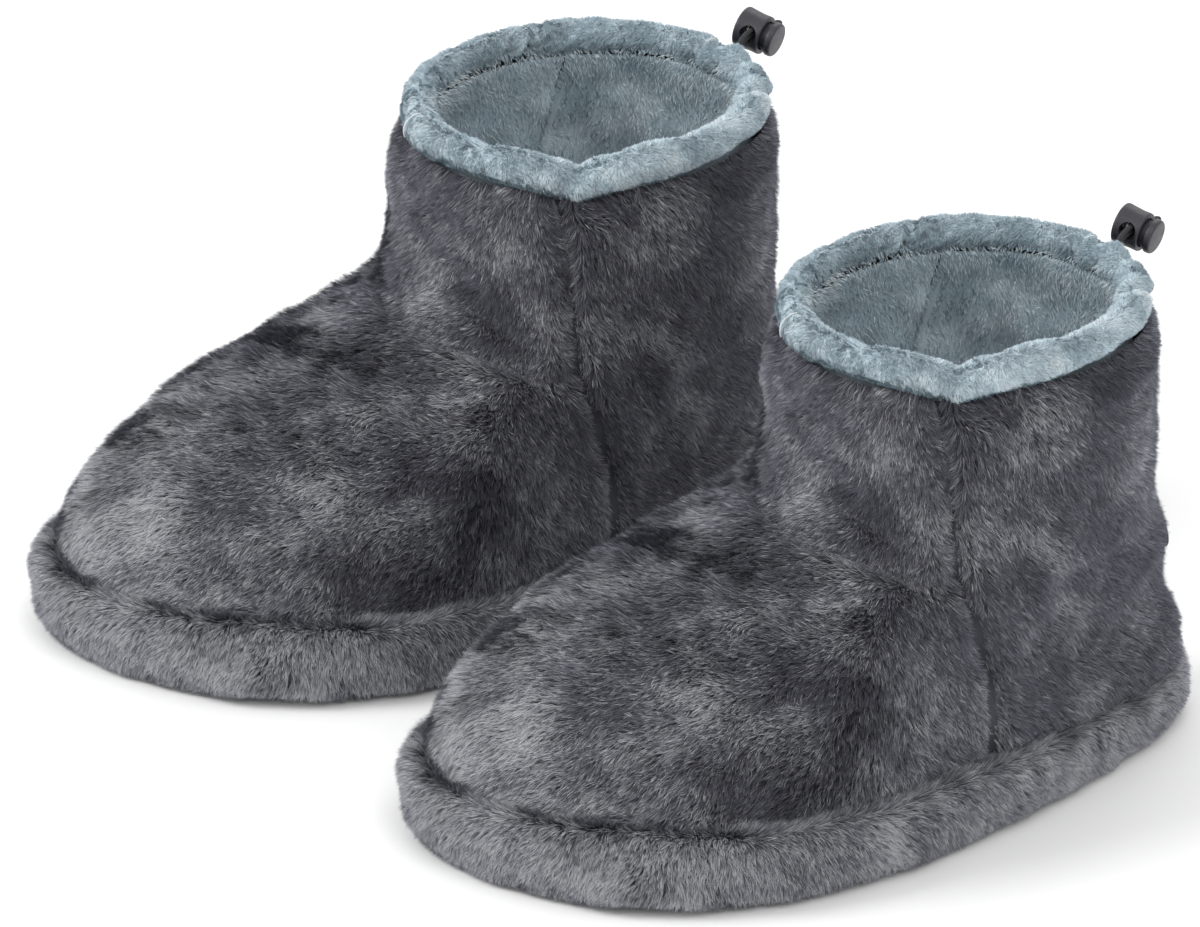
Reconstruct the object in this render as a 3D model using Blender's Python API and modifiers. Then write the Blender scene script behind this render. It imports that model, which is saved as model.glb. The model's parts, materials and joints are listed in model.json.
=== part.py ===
"""A pair of heated plush boots: a soft sole with a heating layer, a pile upper in three panels,
a fleece lining, and a rolled collar closed by an elastic drawcord with a spring cord lock."""

import math

import bmesh
import bpy
import numpy as np
from mathutils import Matrix, Vector

# Lengths are in metres. The toes point to -Y, and +X is the wearer's left.
COLLECTION = "heated_boots"
GAP = 0.0003
OVERRUN = 0.01
WELD = 0.00001

# Where the two boots stand
PAIR_SPREAD = 0.2077
PAIR_STAGGER = 0.0503
SIDES = {"left": 0.5, "right": -0.5}

# Outline of one boot over the pile of its sole band
TOE_LENGTH = 0.1107
HEEL_LENGTH = 0.1893
BALL_OUTER = 0.083
BALL_INNER = 0.072
HEEL_OUTER = 0.050
HEEL_INNER = 0.061
TOE_SHIFT = 0.0175
HEEL_SHIFT = 0.006
TOE_ROUND_SHARE = 0.916
HEEL_ROUND_SHARE = 0.56
OUTLINE_SAMPLES = 720

# Shaft
SHAFT_BACK = 0.0991
SHAFT_LONG = 0.0691
SHAFT_WIDE = 0.0622
UPPER_TOP = 0.1772
SHAFT_PUFF = 0.005
SEAM_DIP = 0.004
SEAM_DIP_ANGLE = math.radians(88)
SEAM_DIP_WIDTH = math.radians(13)
SHAFT_TURN = math.radians(24.5)
SEAM_TWIST = math.radians(22)

DIP_START_SHARE = 0.75

# Rows of the upper from the band to the collar, as shares of its height, of the way out from
# the shaft to the foot outline, and of the puff
HEIGHT_SHARES = (0, 0.09, 0.18, 0.27, 0.36, 0.431, 0.490, 0.553, 0.66, 0.78, 0.90, 1)
REACH_SHARES = (1, 0.971, 0.911, 0.811, 0.655, 0.48, 0.31, 0.16, 0.04, 0.005, 0, 0)
PUFF_SHARES = (0, 0.1, 0.45, 0.74, 0.8, 0.6, 0.4, 0.3, 0.39, 0.8, 0.85, 0.2)
TOP_ROW = len(HEIGHT_SHARES) - 1
CROSS_ROW = 7
LEVEL_ROW_SHARE = 1.5
ROW_STEP_SHARE = 0.5
COLUMN_STEP = math.radians(2)
ROW_SAMPLES = 400

# Seams between the panels, as turns round the boot from the toe
SIDE_SEAM = math.radians(106)
SEAM_HALF_TURN = math.radians(0.17)
SEAM_ROW_SHARE = 0.02
COLUMNS_FRONT = 18
COLUMNS_REAR = 12

# Layers of the upper, measured in from the tips of the pile
PILE_PANEL = 0.006
INTERLAYER = 0.0018
STIFFENER = 0.0012
LINING = 0.005

# Sole
BAND_HEIGHT = 0.0336
BAND_HEEL_HEIGHT = 0.0262
BAND_EASE_START = math.radians(65)
BAND_EASE_END = math.radians(140)
BAND_BULGE = 0.003
UPPER_INSET = 0.006
BAND_WALL = 0.0110
BAND_SECTION_SHARES = ((-2, 0), (-0.5, 0.12), (0.7, 0.32), (1, 0.58), (0.4, 0.84), (-1, 1))
OUTSOLE = 0.003
MIDSOLE = 0.009
HEATING_PAD = 0.001
HEATING_WIRE = 0.0012
INSOLE = 0.006
INSOLE_EDGE = 0.004
INSOLE_SECTION_SHARES = ((0.5, 0), (0, 0.35), (0.25, 0.7), (2, 1))
PAD_INSET = 0.010
PAD_SWELL = -UPPER_INSET - PILE_PANEL - INTERLAYER - LINING - PAD_INSET
WIRE_RUNS = 8
WIRE_MARGIN = 0.011
WIRE_STEPS = 4
WIRE_REACH_SHARE = 0.93

# Heater fittings
LEAD = 0.0013
THERMOSTAT_LONG = 0.012
THERMOSTAT_WIDE = 0.007
THERMOSTAT_THICK = 0.0035
THERMOSTAT_PLACE = 0.020
INLET_HEIGHT = 0.070
INLET_BARREL = 0.0048
INLET_FLANGE = 0.0065
INLET_FLANGE_THICK = 0.0015
INLET_BORE = 0.0028
INLET_BORE_DEPTH = 0.0050
INLET_PIN = 0.0010
COUNTER_ROWS = 5
COUNTER_EDGE = 3
PUFF_ROWS = 3
PUFF_EDGE = 4
NOTCH_HALF = 0.0056

# Collar, its hollow and the drawcord in it
COLLAR_TUBE = 0.0065
COLLAR_WALL = 0.0020
COLLAR_MOUTH = math.radians(38)
COLLAR_HEIGHT = UPPER_TOP + GAP + COLLAR_TUBE * math.cos(COLLAR_MOUTH)
COLLAR_POINTS = 7
CORD = 0.0020
CORD_HOLE = 0.0030
CORD_DROP = 0.0015
CORD_COLUMNS = 20
CORD_GAP_TURN = math.radians(6)

# Cord lock: its cross hole is at its origin, and its plunger comes out along its own +Z
LOCK_ASIDE = -0.0204
LOCK_BACK = 0.017
LOCK_RISE = 0.003
LOCK_TURN = math.radians(34.9)
LOCK_DIP = math.radians(10.8)
HOLE_TILT = math.radians(15.0)
LOCK_FLOOR_END = 0.0060
LOCK_MOUTH_END = 0.0044
LOCK_FLOOR = 0.0012
LOCK_OUTER = 0.0078
LOCK_MOUTH_OUTER = 0.0074
LOCK_BORE = 0.0054
LOCK_EDGE = 0.0007
LOCK_HOLE = 0.0033
LOCK_STEPS = 28
STRAND_HALF = 0.0012
STRAND_OFFSET = 0.0005
PLUNGER_TRAVEL = 0.0016
PLUNGER_END = 0.0008
HEAD_CLEARANCE = 0.0004
HEAD_RADIUS = 0.0065
HEAD_THICK = 0.0028
HEAD_EDGE = 0.0008
SPRING_WIRE = 0.0005
SPRING_RADIUS = 0.0034
SPRING_TURNS = 3
SPRING_POINTS = 8
TAIL_RUN = 0.0095
TAIL_DROP = 0.004
STRAND_BEND = 0.0030
BEND_STEPS = 4

SMOOTH_ANGLE = math.radians(40)
COLOURS = {
    "pile_fur": ((0.135, 0.140, 0.165), 0.95, 0.0),
    "coral_fleece": ((0.27, 0.36, 0.40), 0.95, 0.0),
    "sole_fabric": ((0.06, 0.06, 0.07), 0.85, 0.0),
    "foam": ((0.75, 0.75, 0.72), 0.9, 0.0),
    "felt": ((0.55, 0.52, 0.48), 0.95, 0.0),
    "board": ((0.60, 0.50, 0.36), 0.8, 0.0),
    "heating_cable": ((0.35, 0.04, 0.03), 0.5, 0.0),
    "black_plastic": ((0.012, 0.012, 0.014), 0.42, 0.0),
    "cord_elastic": ((0.015, 0.015, 0.018), 0.8, 0.0),
    "spring_steel": ((0.55, 0.55, 0.56), 0.3, 1.0),
}


def signed_power(value, exponent):
    return np.sign(value) * np.abs(value) ** exponent


def foot_outline(turn, swell):
    """Point of the foot's outline: turn 0 is the toe, and positive turns go round by +X."""
    turn = np.asarray(turn, float)
    ahead, aside = np.cos(turn), np.sin(turn)
    front = TOE_LENGTH + swell
    back = HEEL_LENGTH + swell
    y = np.where(
        ahead > 0,
        -front * signed_power(ahead, TOE_ROUND_SHARE),
        back * signed_power(-ahead, HEEL_ROUND_SHARE),
    )
    rear = np.clip(y / back, 0, 1)
    rear = rear * rear * (3 - 2 * rear)
    fore = np.clip(-y / front, 0, 1)
    ball = np.where(aside > 0, BALL_OUTER, BALL_INNER)
    heel = np.where(aside > 0, HEEL_OUTER, HEEL_INNER)
    half = ball + (heel - ball) * rear + swell
    x = half * aside - TOE_SHIFT * fore**2 - HEEL_SHIFT * rear
    return np.stack([x - OUTLINE_MIDDLE[0], y - OUTLINE_MIDDLE[1]], -1)


def shaft_outline(turn, swell):
    """The same for the shaft, whose columns gather towards the front."""
    turn = np.asarray(turn, float)
    turned = turn - SHAFT_TURN * np.sin(turn)
    x = (SHAFT_WIDE + swell) * np.sin(turned)
    y = SHAFT_BACK - (SHAFT_LONG + swell) * np.cos(turned)
    return np.stack([x - OUTLINE_MIDDLE[0], y - OUTLINE_MIDDLE[1]], -1)


OUTLINE_MIDDLE = np.zeros(2)
whole_turn = np.linspace(0, 2 * np.pi, OUTLINE_SAMPLES)
outline = foot_outline(whole_turn, BAND_BULGE)
OUTLINE_MIDDLE = (outline.min(0) + outline.max(0)) / 2


def seam_dip(turn):
    away = np.angle(np.exp(1j * (np.asarray(turn, float) - SEAM_DIP_ANGLE)))
    return SEAM_DIP * np.exp(-((away / SEAM_DIP_WIDTH) ** 2))


def band_top(turn):
    """Height of the top of the sole band, which is lower round the heel."""
    away = np.abs(np.angle(np.exp(1j * np.asarray(turn, float))))
    ease = np.clip((away - BAND_EASE_START) / (BAND_EASE_END - BAND_EASE_START), 0, 1)
    ease = ease * ease * (3 - 2 * ease)
    return BAND_HEIGHT - (BAND_HEIGHT - BAND_HEEL_HEIGHT) * ease


def upper_surface(column, row):
    """Point on the tips of the upper's pile. Columns lean back with height, as the side seams do."""
    rows = np.arange(TOP_ROW + 1)
    height = np.interp(row, rows, HEIGHT_SHARES)
    reach = np.interp(row, rows, REACH_SHARES)[..., None]
    puff = np.interp(row, rows, PUFF_SHARES)
    turn = column - SEAM_TWIST * height
    foot = foot_outline(turn, -UPPER_INSET)
    shaft = shaft_outline(turn, 0) + (
        shaft_outline(turn, SHAFT_PUFF) - shaft_outline(turn, 0)
    ) * puff[..., None]
    flat = shaft * (1 - reach) + foot * reach
    near_top = np.clip((height - DIP_START_SHARE) / (1 - DIP_START_SHARE), 0, 1)
    low = band_top(turn) + GAP
    z = low + (UPPER_TOP - low) * height
    return np.concatenate([flat, (z - seam_dip(turn) * near_top)[..., None]], -1)


def upper_point(column, row, depth):
    """Point at a depth under the tips of the pile, square to the surface."""
    column, row = np.broadcast_arrays(np.asarray(column, float), np.asarray(row, float))
    across = upper_surface(column + COLUMN_STEP, row) - upper_surface(column - COLUMN_STEP, row)
    up = upper_surface(column, np.minimum(row + ROW_STEP_SHARE, TOP_ROW))
    up = up - upper_surface(column, np.maximum(row - ROW_STEP_SHARE, 0))
    normal = np.cross(across, up)
    level = np.clip(np.minimum(row, TOP_ROW - row) / LEVEL_ROW_SHARE, 0, 1)
    normal[..., 2] *= level
    normal /= np.linalg.norm(normal, axis=-1, keepdims=True)
    return upper_surface(column, row) - normal * depth


def add_material(name):
    colour, roughness, metallic = COLOURS[name]
    material = bpy.data.materials.new(name)
    material.use_nodes = True
    shader = material.node_tree.nodes["Principled BSDF"]
    shader.inputs["Base Color"].default_value = (*colour, 1)
    shader.inputs["Roughness"].default_value = roughness
    shader.inputs["Metallic"].default_value = metallic
    return material


def finish(obj, material):
    obj.data.materials.append(materials[material])
    if obj.type == "MESH":
        obj.data.shade_smooth()
        obj.data.set_sharp_from_angle(angle=SMOOTH_ANGLE)
    return obj


def link(obj, home=None):
    (home or parts).objects.link(obj)
    return obj


def mesh_object(name, points, faces, material, home=None):
    mesh = bpy.data.meshes.new(name)
    mesh.from_pydata([tuple(point) for point in points], [], faces)
    mesh.update()
    obj = link(bpy.data.objects.new(name, mesh), home)
    return finish(obj, material) if material else obj


def split_quad(corners, flip=False):
    """Two triangles that share the diagonal from the first corner to the third."""
    first, second, third, fourth = corners
    halves = [[first, second, third], [first, third, fourth]]
    return [half[::-1] for half in halves] if flip else halves


def grid_faces(rings, columns, first=0, closed=True, flip=False):
    """Faces between rows of points, each row one after the other."""
    faces = []
    for ring in range(rings - 1):
        for column in range(columns if closed else columns - 1):
            low = first + ring * columns
            high = low + columns
            after = (column + 1) % columns
            corners = (low + column, low + after, high + after, high + column)
            faces += split_quad(corners, flip)
    return faces


def shell_panel(name, columns, rows, outer, inner, material, skirt=None):
    """Block of the upper between two depths, over the given columns and rows. A skirt height
    carries it straight down from its lowest row."""
    grid = np.meshgrid(columns, rows)
    sheets = []
    for depth in (outer, inner):
        sheet = upper_point(*grid, depth)
        if skirt is not None:
            foot = sheet[:1].copy()
            foot[..., 2] = skirt
            sheet = np.concatenate([foot, sheet])
        sheets.append(sheet.reshape(-1, 3))
    points = np.concatenate(sheets)
    count = len(sheets[0])
    wide = len(columns)
    tall = count // wide
    faces = grid_faces(tall, wide, closed=False)
    faces += grid_faces(tall, wide, first=count, closed=False, flip=True)
    for column in range(wide - 1):
        for edge, flip in ((column, True), ((tall - 1) * wide + column, False)):
            faces += split_quad((edge, edge + 1, edge + count + 1, edge + count), flip)
    for row in range(tall - 1):
        for edge, flip in ((row * wide, False), (row * wide + wide - 1, True)):
            faces += split_quad((edge, edge + wide, edge + wide + count, edge + count), flip)
    return mesh_object(name, points, faces, material)


def ring_tube(name, sections, material):
    """Closed tube: each section is one ring of points all round the boot."""
    columns = len(sections[0])
    points = np.concatenate(sections)
    faces = grid_faces(len(sections), columns)
    last = (len(sections) - 1) * columns
    for column in range(columns):
        after = (column + 1) % columns
        faces.append([last + column, last + after, after, column])
    return mesh_object(name, points, faces, material)


def ring_turns():
    """Turns of the outlines whose points stand in line with the columns of the upper."""
    front = np.linspace(-SIDE_SEAM, SIDE_SEAM, COLUMNS_FRONT, endpoint=False)
    rear = np.linspace(SIDE_SEAM, 2 * np.pi - SIDE_SEAM, COLUMNS_REAR, endpoint=False)
    return np.concatenate([front, rear])


def level_ring(swell, height):
    """Ring of the foot's outline at one height, or at a height for each of its points."""
    flat = foot_outline(ring_turns(), swell)
    return np.concatenate([flat, np.broadcast_to(height, len(flat))[:, None]], 1)


def ring_inside(depth, height):
    """Level outline at a depth under the foot of the upper, as the lining's faces are."""
    ring = upper_point(ring_turns(), 0, depth)
    ring[:, 2] = height
    return ring


def sole_plate(name, swell, bottom, thickness, material):
    """Flat layer of the sole, cut to the foot's outline."""
    curve = bpy.data.curves.new(name, "CURVE")
    curve.dimensions = "2D"
    curve.fill_mode = "BOTH"
    curve.extrude = thickness / 2
    flat = level_ring(swell, 0)
    line = curve.splines.new("POLY")
    line.points.add(len(flat) - 1)
    for point, place in zip(line.points, flat):
        point.co = (*place, 1)
    line.use_cyclic_u = True
    obj = link(bpy.data.objects.new(name, curve))
    obj.location.z = bottom + thickness / 2
    return finish(obj, material)


def stacked_cushion(name, rings, material):
    """Solid of level rings from the bottom up."""
    count = len(rings[0])
    faces = grid_faces(len(rings), count)
    last = (len(rings) - 1) * count
    faces.append(list(range(count))[::-1])
    faces.append(list(range(last, last + count)))
    return mesh_object(name, np.concatenate(rings), faces, material)


def tube(name, route, diameter, material, resolution=1, cyclic=False):
    curve = bpy.data.curves.new(name, "CURVE")
    curve.dimensions = "3D"
    curve.bevel_depth = diameter / 2
    curve.bevel_resolution = resolution
    curve.use_fill_caps = not cyclic
    line = curve.splines.new("POLY")
    line.points.add(len(route) - 1)
    for point, place in zip(line.points, route):
        point.co = (*place, 1)
    line.use_cyclic_u = cyclic
    return finish(link(bpy.data.objects.new(name, curve)), material)


def turned(name, profile, material, steps=LOCK_STEPS):
    """Body turned about its own Z from points of radius and height."""
    mesh = bpy.data.meshes.new(name)
    mesh.from_pydata(
        [(radius, 0, height) for radius, height in profile],
        [(index, index + 1) for index in range(len(profile) - 1)],
        [],
    )
    obj = link(bpy.data.objects.new(name, mesh))
    screw = obj.modifiers.new("turn", "SCREW")
    screw.axis = "Z"
    screw.steps = screw.render_steps = steps
    screw.use_merge_vertices = True
    screw.merge_threshold = WELD
    screw.use_smooth_shade = True
    obj.data.materials.append(materials[material])
    return obj


def block(name, size, material=None, home=None):
    mesh = bpy.data.meshes.new(name)
    shape = bmesh.new()
    bmesh.ops.create_cube(shape, size=1, matrix=Matrix.Diagonal((*size, 1)))
    shape.to_mesh(mesh)
    shape.free()
    obj = link(bpy.data.objects.new(name, mesh), home)
    return finish(obj, material) if material else obj


def rod(name, radius, length, home=None):
    mesh = bpy.data.meshes.new(name)
    shape = bmesh.new()
    bmesh.ops.create_cone(
        shape, cap_ends=True, segments=LOCK_STEPS, radius1=radius, radius2=radius, depth=length
    )
    shape.to_mesh(mesh)
    shape.free()
    return link(bpy.data.objects.new(name, mesh), home)


def cut(obj, cutter):
    """Takes the cutter out of the object. The cutter stays as a wire guide."""
    cutter.hide_render = True
    cutter.display_type = "WIRE"
    hole = obj.modifiers.new(cutter.name, "BOOLEAN")
    hole.operation = "DIFFERENCE"
    hole.object = cutter


def hang(obj, carrier):
    obj.parent = carrier
    return obj


def build_sole(side):
    """Outsole, foam, heating layer, insole and the pile band round them."""
    pieces = []
    rim = -BAND_WALL - GAP
    pieces.append(sole_plate(f"{side}_outsole", rim, 0, OUTSOLE, "sole_fabric"))
    foam_bottom = OUTSOLE + GAP
    foam_top = foam_bottom + MIDSOLE
    foam_rings = [level_ring(rim, foam_bottom), level_ring(rim, foam_top)]
    foam = stacked_cushion(f"{side}_midsole_foam", foam_rings, "foam")
    pieces.append(foam)
    pad_bottom = foam_top + GAP
    pieces.append(sole_plate(f"{side}_heating_pad", PAD_SWELL, pad_bottom, HEATING_PAD, "felt"))
    wire_centre = pad_bottom + HEATING_PAD + GAP + HEATING_WIRE / 2
    route = heating_route(PAD_SWELL, wire_centre)
    pieces.append(tube(f"{side}_heating_wire", route, HEATING_WIRE, "heating_cable"))
    insole_bottom = wire_centre + HEATING_WIRE / 2 + GAP
    inside = PILE_PANEL + INTERLAYER + LINING + GAP
    insole_rings = [
        ring_inside(inside + INSOLE_EDGE * inset, insole_bottom + INSOLE * rise)
        for inset, rise in INSOLE_SECTION_SHARES
    ]
    pieces.append(stacked_cushion(f"{side}_insole", insole_rings, "coral_fleece"))
    pieces += build_thermostat(side, foam, foam_top)
    pieces.append(build_band(side))
    return pieces, foam_top


def heating_route(inset, height):
    """Serpentine that runs along the pad, in even runs from side to side."""
    half_turn = np.linspace(0, np.pi, OUTLINE_SAMPLES // 2)
    outer = foot_outline(half_turn, inset - WIRE_MARGIN)
    inner = foot_outline(-half_turn, inset - WIRE_MARGIN)
    front, back = outer[0, 1], outer[-1, 1]
    middle, half = (front + back) / 2, (back - front) / 2 * WIRE_REACH_SHARE
    route = []
    for index, y in enumerate(np.linspace(middle - half, middle + half, WIRE_RUNS)):
        ends = [np.interp(y, side[:, 1], side[:, 0]) for side in (inner, outer)]
        if index % 2:
            ends.reverse()
        route += [(x, y, height) for x in np.linspace(*ends, WIRE_STEPS)]
    return route


def build_thermostat(side, foam, foam_top):
    """Cut-out under the arch, in a pocket of the foam."""
    place = Vector((0, THERMOSTAT_PLACE, foam_top - THERMOSTAT_THICK / 2))
    size = (THERMOSTAT_WIDE, THERMOSTAT_LONG, THERMOSTAT_THICK)
    body = block(f"{side}_thermostat", size, "black_plastic")
    body.location = place
    pocket_size = [length + 2 * GAP for length in size[:2]] + [THERMOSTAT_THICK + GAP + OVERRUN]
    pocket = block(f"{side}_thermostat_pocket", pocket_size, home=cutters)
    pocket.location = place + Vector((0, 0, (OVERRUN - GAP) / 2))
    cut(foam, pocket)
    return [body, pocket]


def build_band(side):
    """Thick roll of pile that hides the edge of the sole."""
    tall = band_top(ring_turns()) - 2 * GAP
    section = [(BAND_BULGE * out, GAP + tall * rise) for out, rise in BAND_SECTION_SHARES]
    section = [(-BAND_WALL, GAP), *section, (-BAND_WALL, GAP + tall)]
    rings = [level_ring(swell, height) for swell, height in section]
    return ring_tube(f"{side}_sole_band", rings, "pile_fur")


def seam_columns(start, end, count):
    return np.linspace(start + SEAM_HALF_TURN, end - SEAM_HALF_TURN, count + 1)


def build_upper(side, foam_top):
    """Pile panels outside, stiffeners between, fleece lining inside down to the sole."""
    front = seam_columns(-SIDE_SEAM, SIDE_SEAM, COLUMNS_FRONT)
    rear = seam_columns(SIDE_SEAM, 2 * np.pi - SIDE_SEAM, COLUMNS_REAR)
    low_rows = np.append(np.arange(0, CROSS_ROW), CROSS_ROW - SEAM_ROW_SHARE)
    high_rows = np.append(CROSS_ROW + SEAM_ROW_SHARE, np.arange(CROSS_ROW + 1, TOP_ROW + 1))
    all_rows = np.arange(0, TOP_ROW + 1)
    lining_outer = PILE_PANEL + INTERLAYER
    lining_inner = lining_outer + LINING
    stiff_outer = PILE_PANEL + GAP
    stiff_inner = stiff_outer + STIFFENER
    skirt = foam_top + LEAD + 2 * GAP
    vamp = shell_panel(f"{side}_toe_vamp", front, low_rows, 0, PILE_PANEL, "pile_fur")
    shaft = shell_panel(f"{side}_front_shaft", front, high_rows, 0, PILE_PANEL, "pile_fur")
    quarter = shell_panel(f"{side}_rear_quarter", rear, all_rows, 0, PILE_PANEL, "pile_fur")
    linings = [
        shell_panel(name, columns, all_rows, lining_outer, lining_inner, "coral_fleece", skirt)
        for name, columns in ((f"{side}_lining_front", front), (f"{side}_lining_rear", rear))
    ]
    toe_puff = shell_panel(
        f"{side}_toe_puff",
        front[PUFF_EDGE:-PUFF_EDGE],
        all_rows[: PUFF_ROWS + 1],
        stiff_outer,
        stiff_inner,
        "board",
    )
    counter = shell_panel(
        f"{side}_heel_counter",
        rear[COUNTER_EDGE:-COUNTER_EDGE],
        all_rows[: COUNTER_ROWS + 1],
        stiff_outer,
        stiff_inner,
        "board",
    )
    pieces = [vamp, shaft, quarter, *linings, toe_puff, counter]
    return pieces, quarter, counter


def build_inlet(side, quarter, counter, foam_top):
    """Round power socket low on the heel, with its lead down to the pad."""
    row = row_at_height(INLET_HEIGHT)
    face = Vector(heel_point(row, 0))
    seat = Vector(heel_point(row, PILE_PANEL + INTERLAYER - GAP))
    axis = (face - seat).normalized()
    depth = (face - seat).length
    empty = link(bpy.data.objects.new(f"{side}_power_inlet_place", None))
    empty.matrix_world = Matrix.Translation(face) @ axis.to_track_quat("Z", "Y").to_matrix().to_4x4()
    profile = (
        (0, -INLET_FLANGE_THICK),
        (INLET_PIN, -INLET_FLANGE_THICK),
        (INLET_PIN, -INLET_BORE_DEPTH),
        (INLET_BORE, -INLET_BORE_DEPTH),
        (INLET_BORE, INLET_FLANGE_THICK),
        (INLET_FLANGE, INLET_FLANGE_THICK),
        (INLET_FLANGE, GAP),
        (INLET_BARREL, GAP),
        (INLET_BARREL, -depth),
        (0, -depth),
    )
    inlet = hang(turned(f"{side}_power_inlet", profile, "black_plastic"), empty)
    bore = rod(f"{side}_inlet_hole", INLET_BARREL + GAP, depth + 2 * OVERRUN, cutters)
    bore.parent = empty
    cut(quarter, bore)
    notch_top = INLET_HEIGHT + INLET_BARREL + 2 * GAP
    notch = block(
        f"{side}_counter_notch", (2 * NOTCH_HALF, 2 * OVERRUN, notch_top), home=cutters
    )
    notch.location = (face.x, (face.y + seat.y) / 2, notch_top / 2)
    cut(counter, notch)
    route = lead_route(face.z - INLET_BARREL - GAP - LEAD / 2, foam_top)
    lead = tube(f"{side}_lead_wire", route, LEAD, "heating_cable")
    return [empty, inlet, bore, notch, lead]


def row_at_height(height):
    rows = np.linspace(0, TOP_ROW, ROW_SAMPLES)
    heights = upper_surface(np.full(ROW_SAMPLES, np.pi), rows)[:, 2]
    return float(np.interp(height, heights, rows))


def heel_point(row, depth):
    """Point straight up the middle of the heel, against the lean of the columns."""
    lean = SEAM_TWIST * np.interp(row, np.arange(TOP_ROW + 1), HEIGHT_SHARES)
    return upper_point(np.pi + lean, row, depth)


def heel_face_point(row, depth):
    """The same point, on the flat faces of the panels."""
    column = np.pi + SEAM_TWIST * np.interp(row, np.arange(TOP_ROW + 1), HEIGHT_SHARES)
    columns = seam_columns(SIDE_SEAM, 2 * np.pi - SIDE_SEAM, COLUMNS_REAR)
    after = int(np.searchsorted(columns, column))
    pair = columns[after - 1 : after + 1]
    low, high = (upper_point(pair, level, depth) for level in (int(row), int(row) + 1))
    first, second = low + (high - low) * (row - int(row))
    return first + (second - first) * (column - pair[0]) / (pair[1] - pair[0])


def lead_route(top, foam_top):
    """Down between pile and lining, then in under the lining's edge to the pad."""
    depth = PILE_PANEL + INTERLAYER / 2
    start = row_at_height(top)
    rows = [start, *range(int(start), -1, -1)]
    route = [tuple(heel_face_point(row, depth)) for row in rows]
    low = foam_top + GAP + LEAD / 2
    route.append((route[-1][0], route[-1][1], low + LEAD))
    for swell in (-UPPER_INSET - depth - LEAD, PAD_SWELL + 2 * GAP):
        route.append((*foot_outline(np.pi, swell), low))
    return route


def collar_centre(turn):
    flat = shaft_outline(turn, -COLLAR_TUBE)
    height = COLLAR_HEIGHT - seam_dip(turn)
    return np.concatenate([flat, np.asarray(height)[..., None]], -1)


def build_collar(side):
    """Rolled hem: a tube left open below, where the pile and the lining meet it."""
    turns = ring_turns() - SEAM_TWIST
    sweep = np.linspace(COLLAR_MOUTH, 2 * np.pi - COLLAR_MOUTH, COLLAR_POINTS)
    rings = []
    for radius, angles in ((COLLAR_TUBE, sweep), (COLLAR_TUBE - COLLAR_WALL, sweep[::-1])):
        for angle in angles:
            flat = shaft_outline(turns, -COLLAR_TUBE + radius * math.sin(angle))
            height = collar_centre(turns)[:, 2:] - radius * math.cos(angle)
            rings.append(np.concatenate([flat, height], 1))
    return ring_tube(f"{side}_collar_channel", rings, "coral_fleece")


def lock_matrix():
    """Place of the cord lock: its X is the cross hole, and its Z the plunger."""
    plunger = Vector(
        (
            math.cos(LOCK_DIP) * math.cos(LOCK_TURN),
            math.cos(LOCK_DIP) * math.sin(LOCK_TURN),
            -math.sin(LOCK_DIP),
        )
    )
    level = Vector((math.sin(LOCK_TURN), -math.cos(LOCK_TURN), 0))
    down = plunger.cross(level)
    hole = level * math.cos(HOLE_TILT) - down * math.sin(HOLE_TILT)
    third = plunger.cross(hole)
    turned_axes = Matrix((hole, third, plunger)).transposed().to_4x4()
    back = collar_centre(np.pi)
    place = Vector((back[0] + LOCK_ASIDE, back[1] + LOCK_BACK, back[2] + LOCK_RISE))
    return Matrix.Translation(place) @ turned_axes


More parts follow.
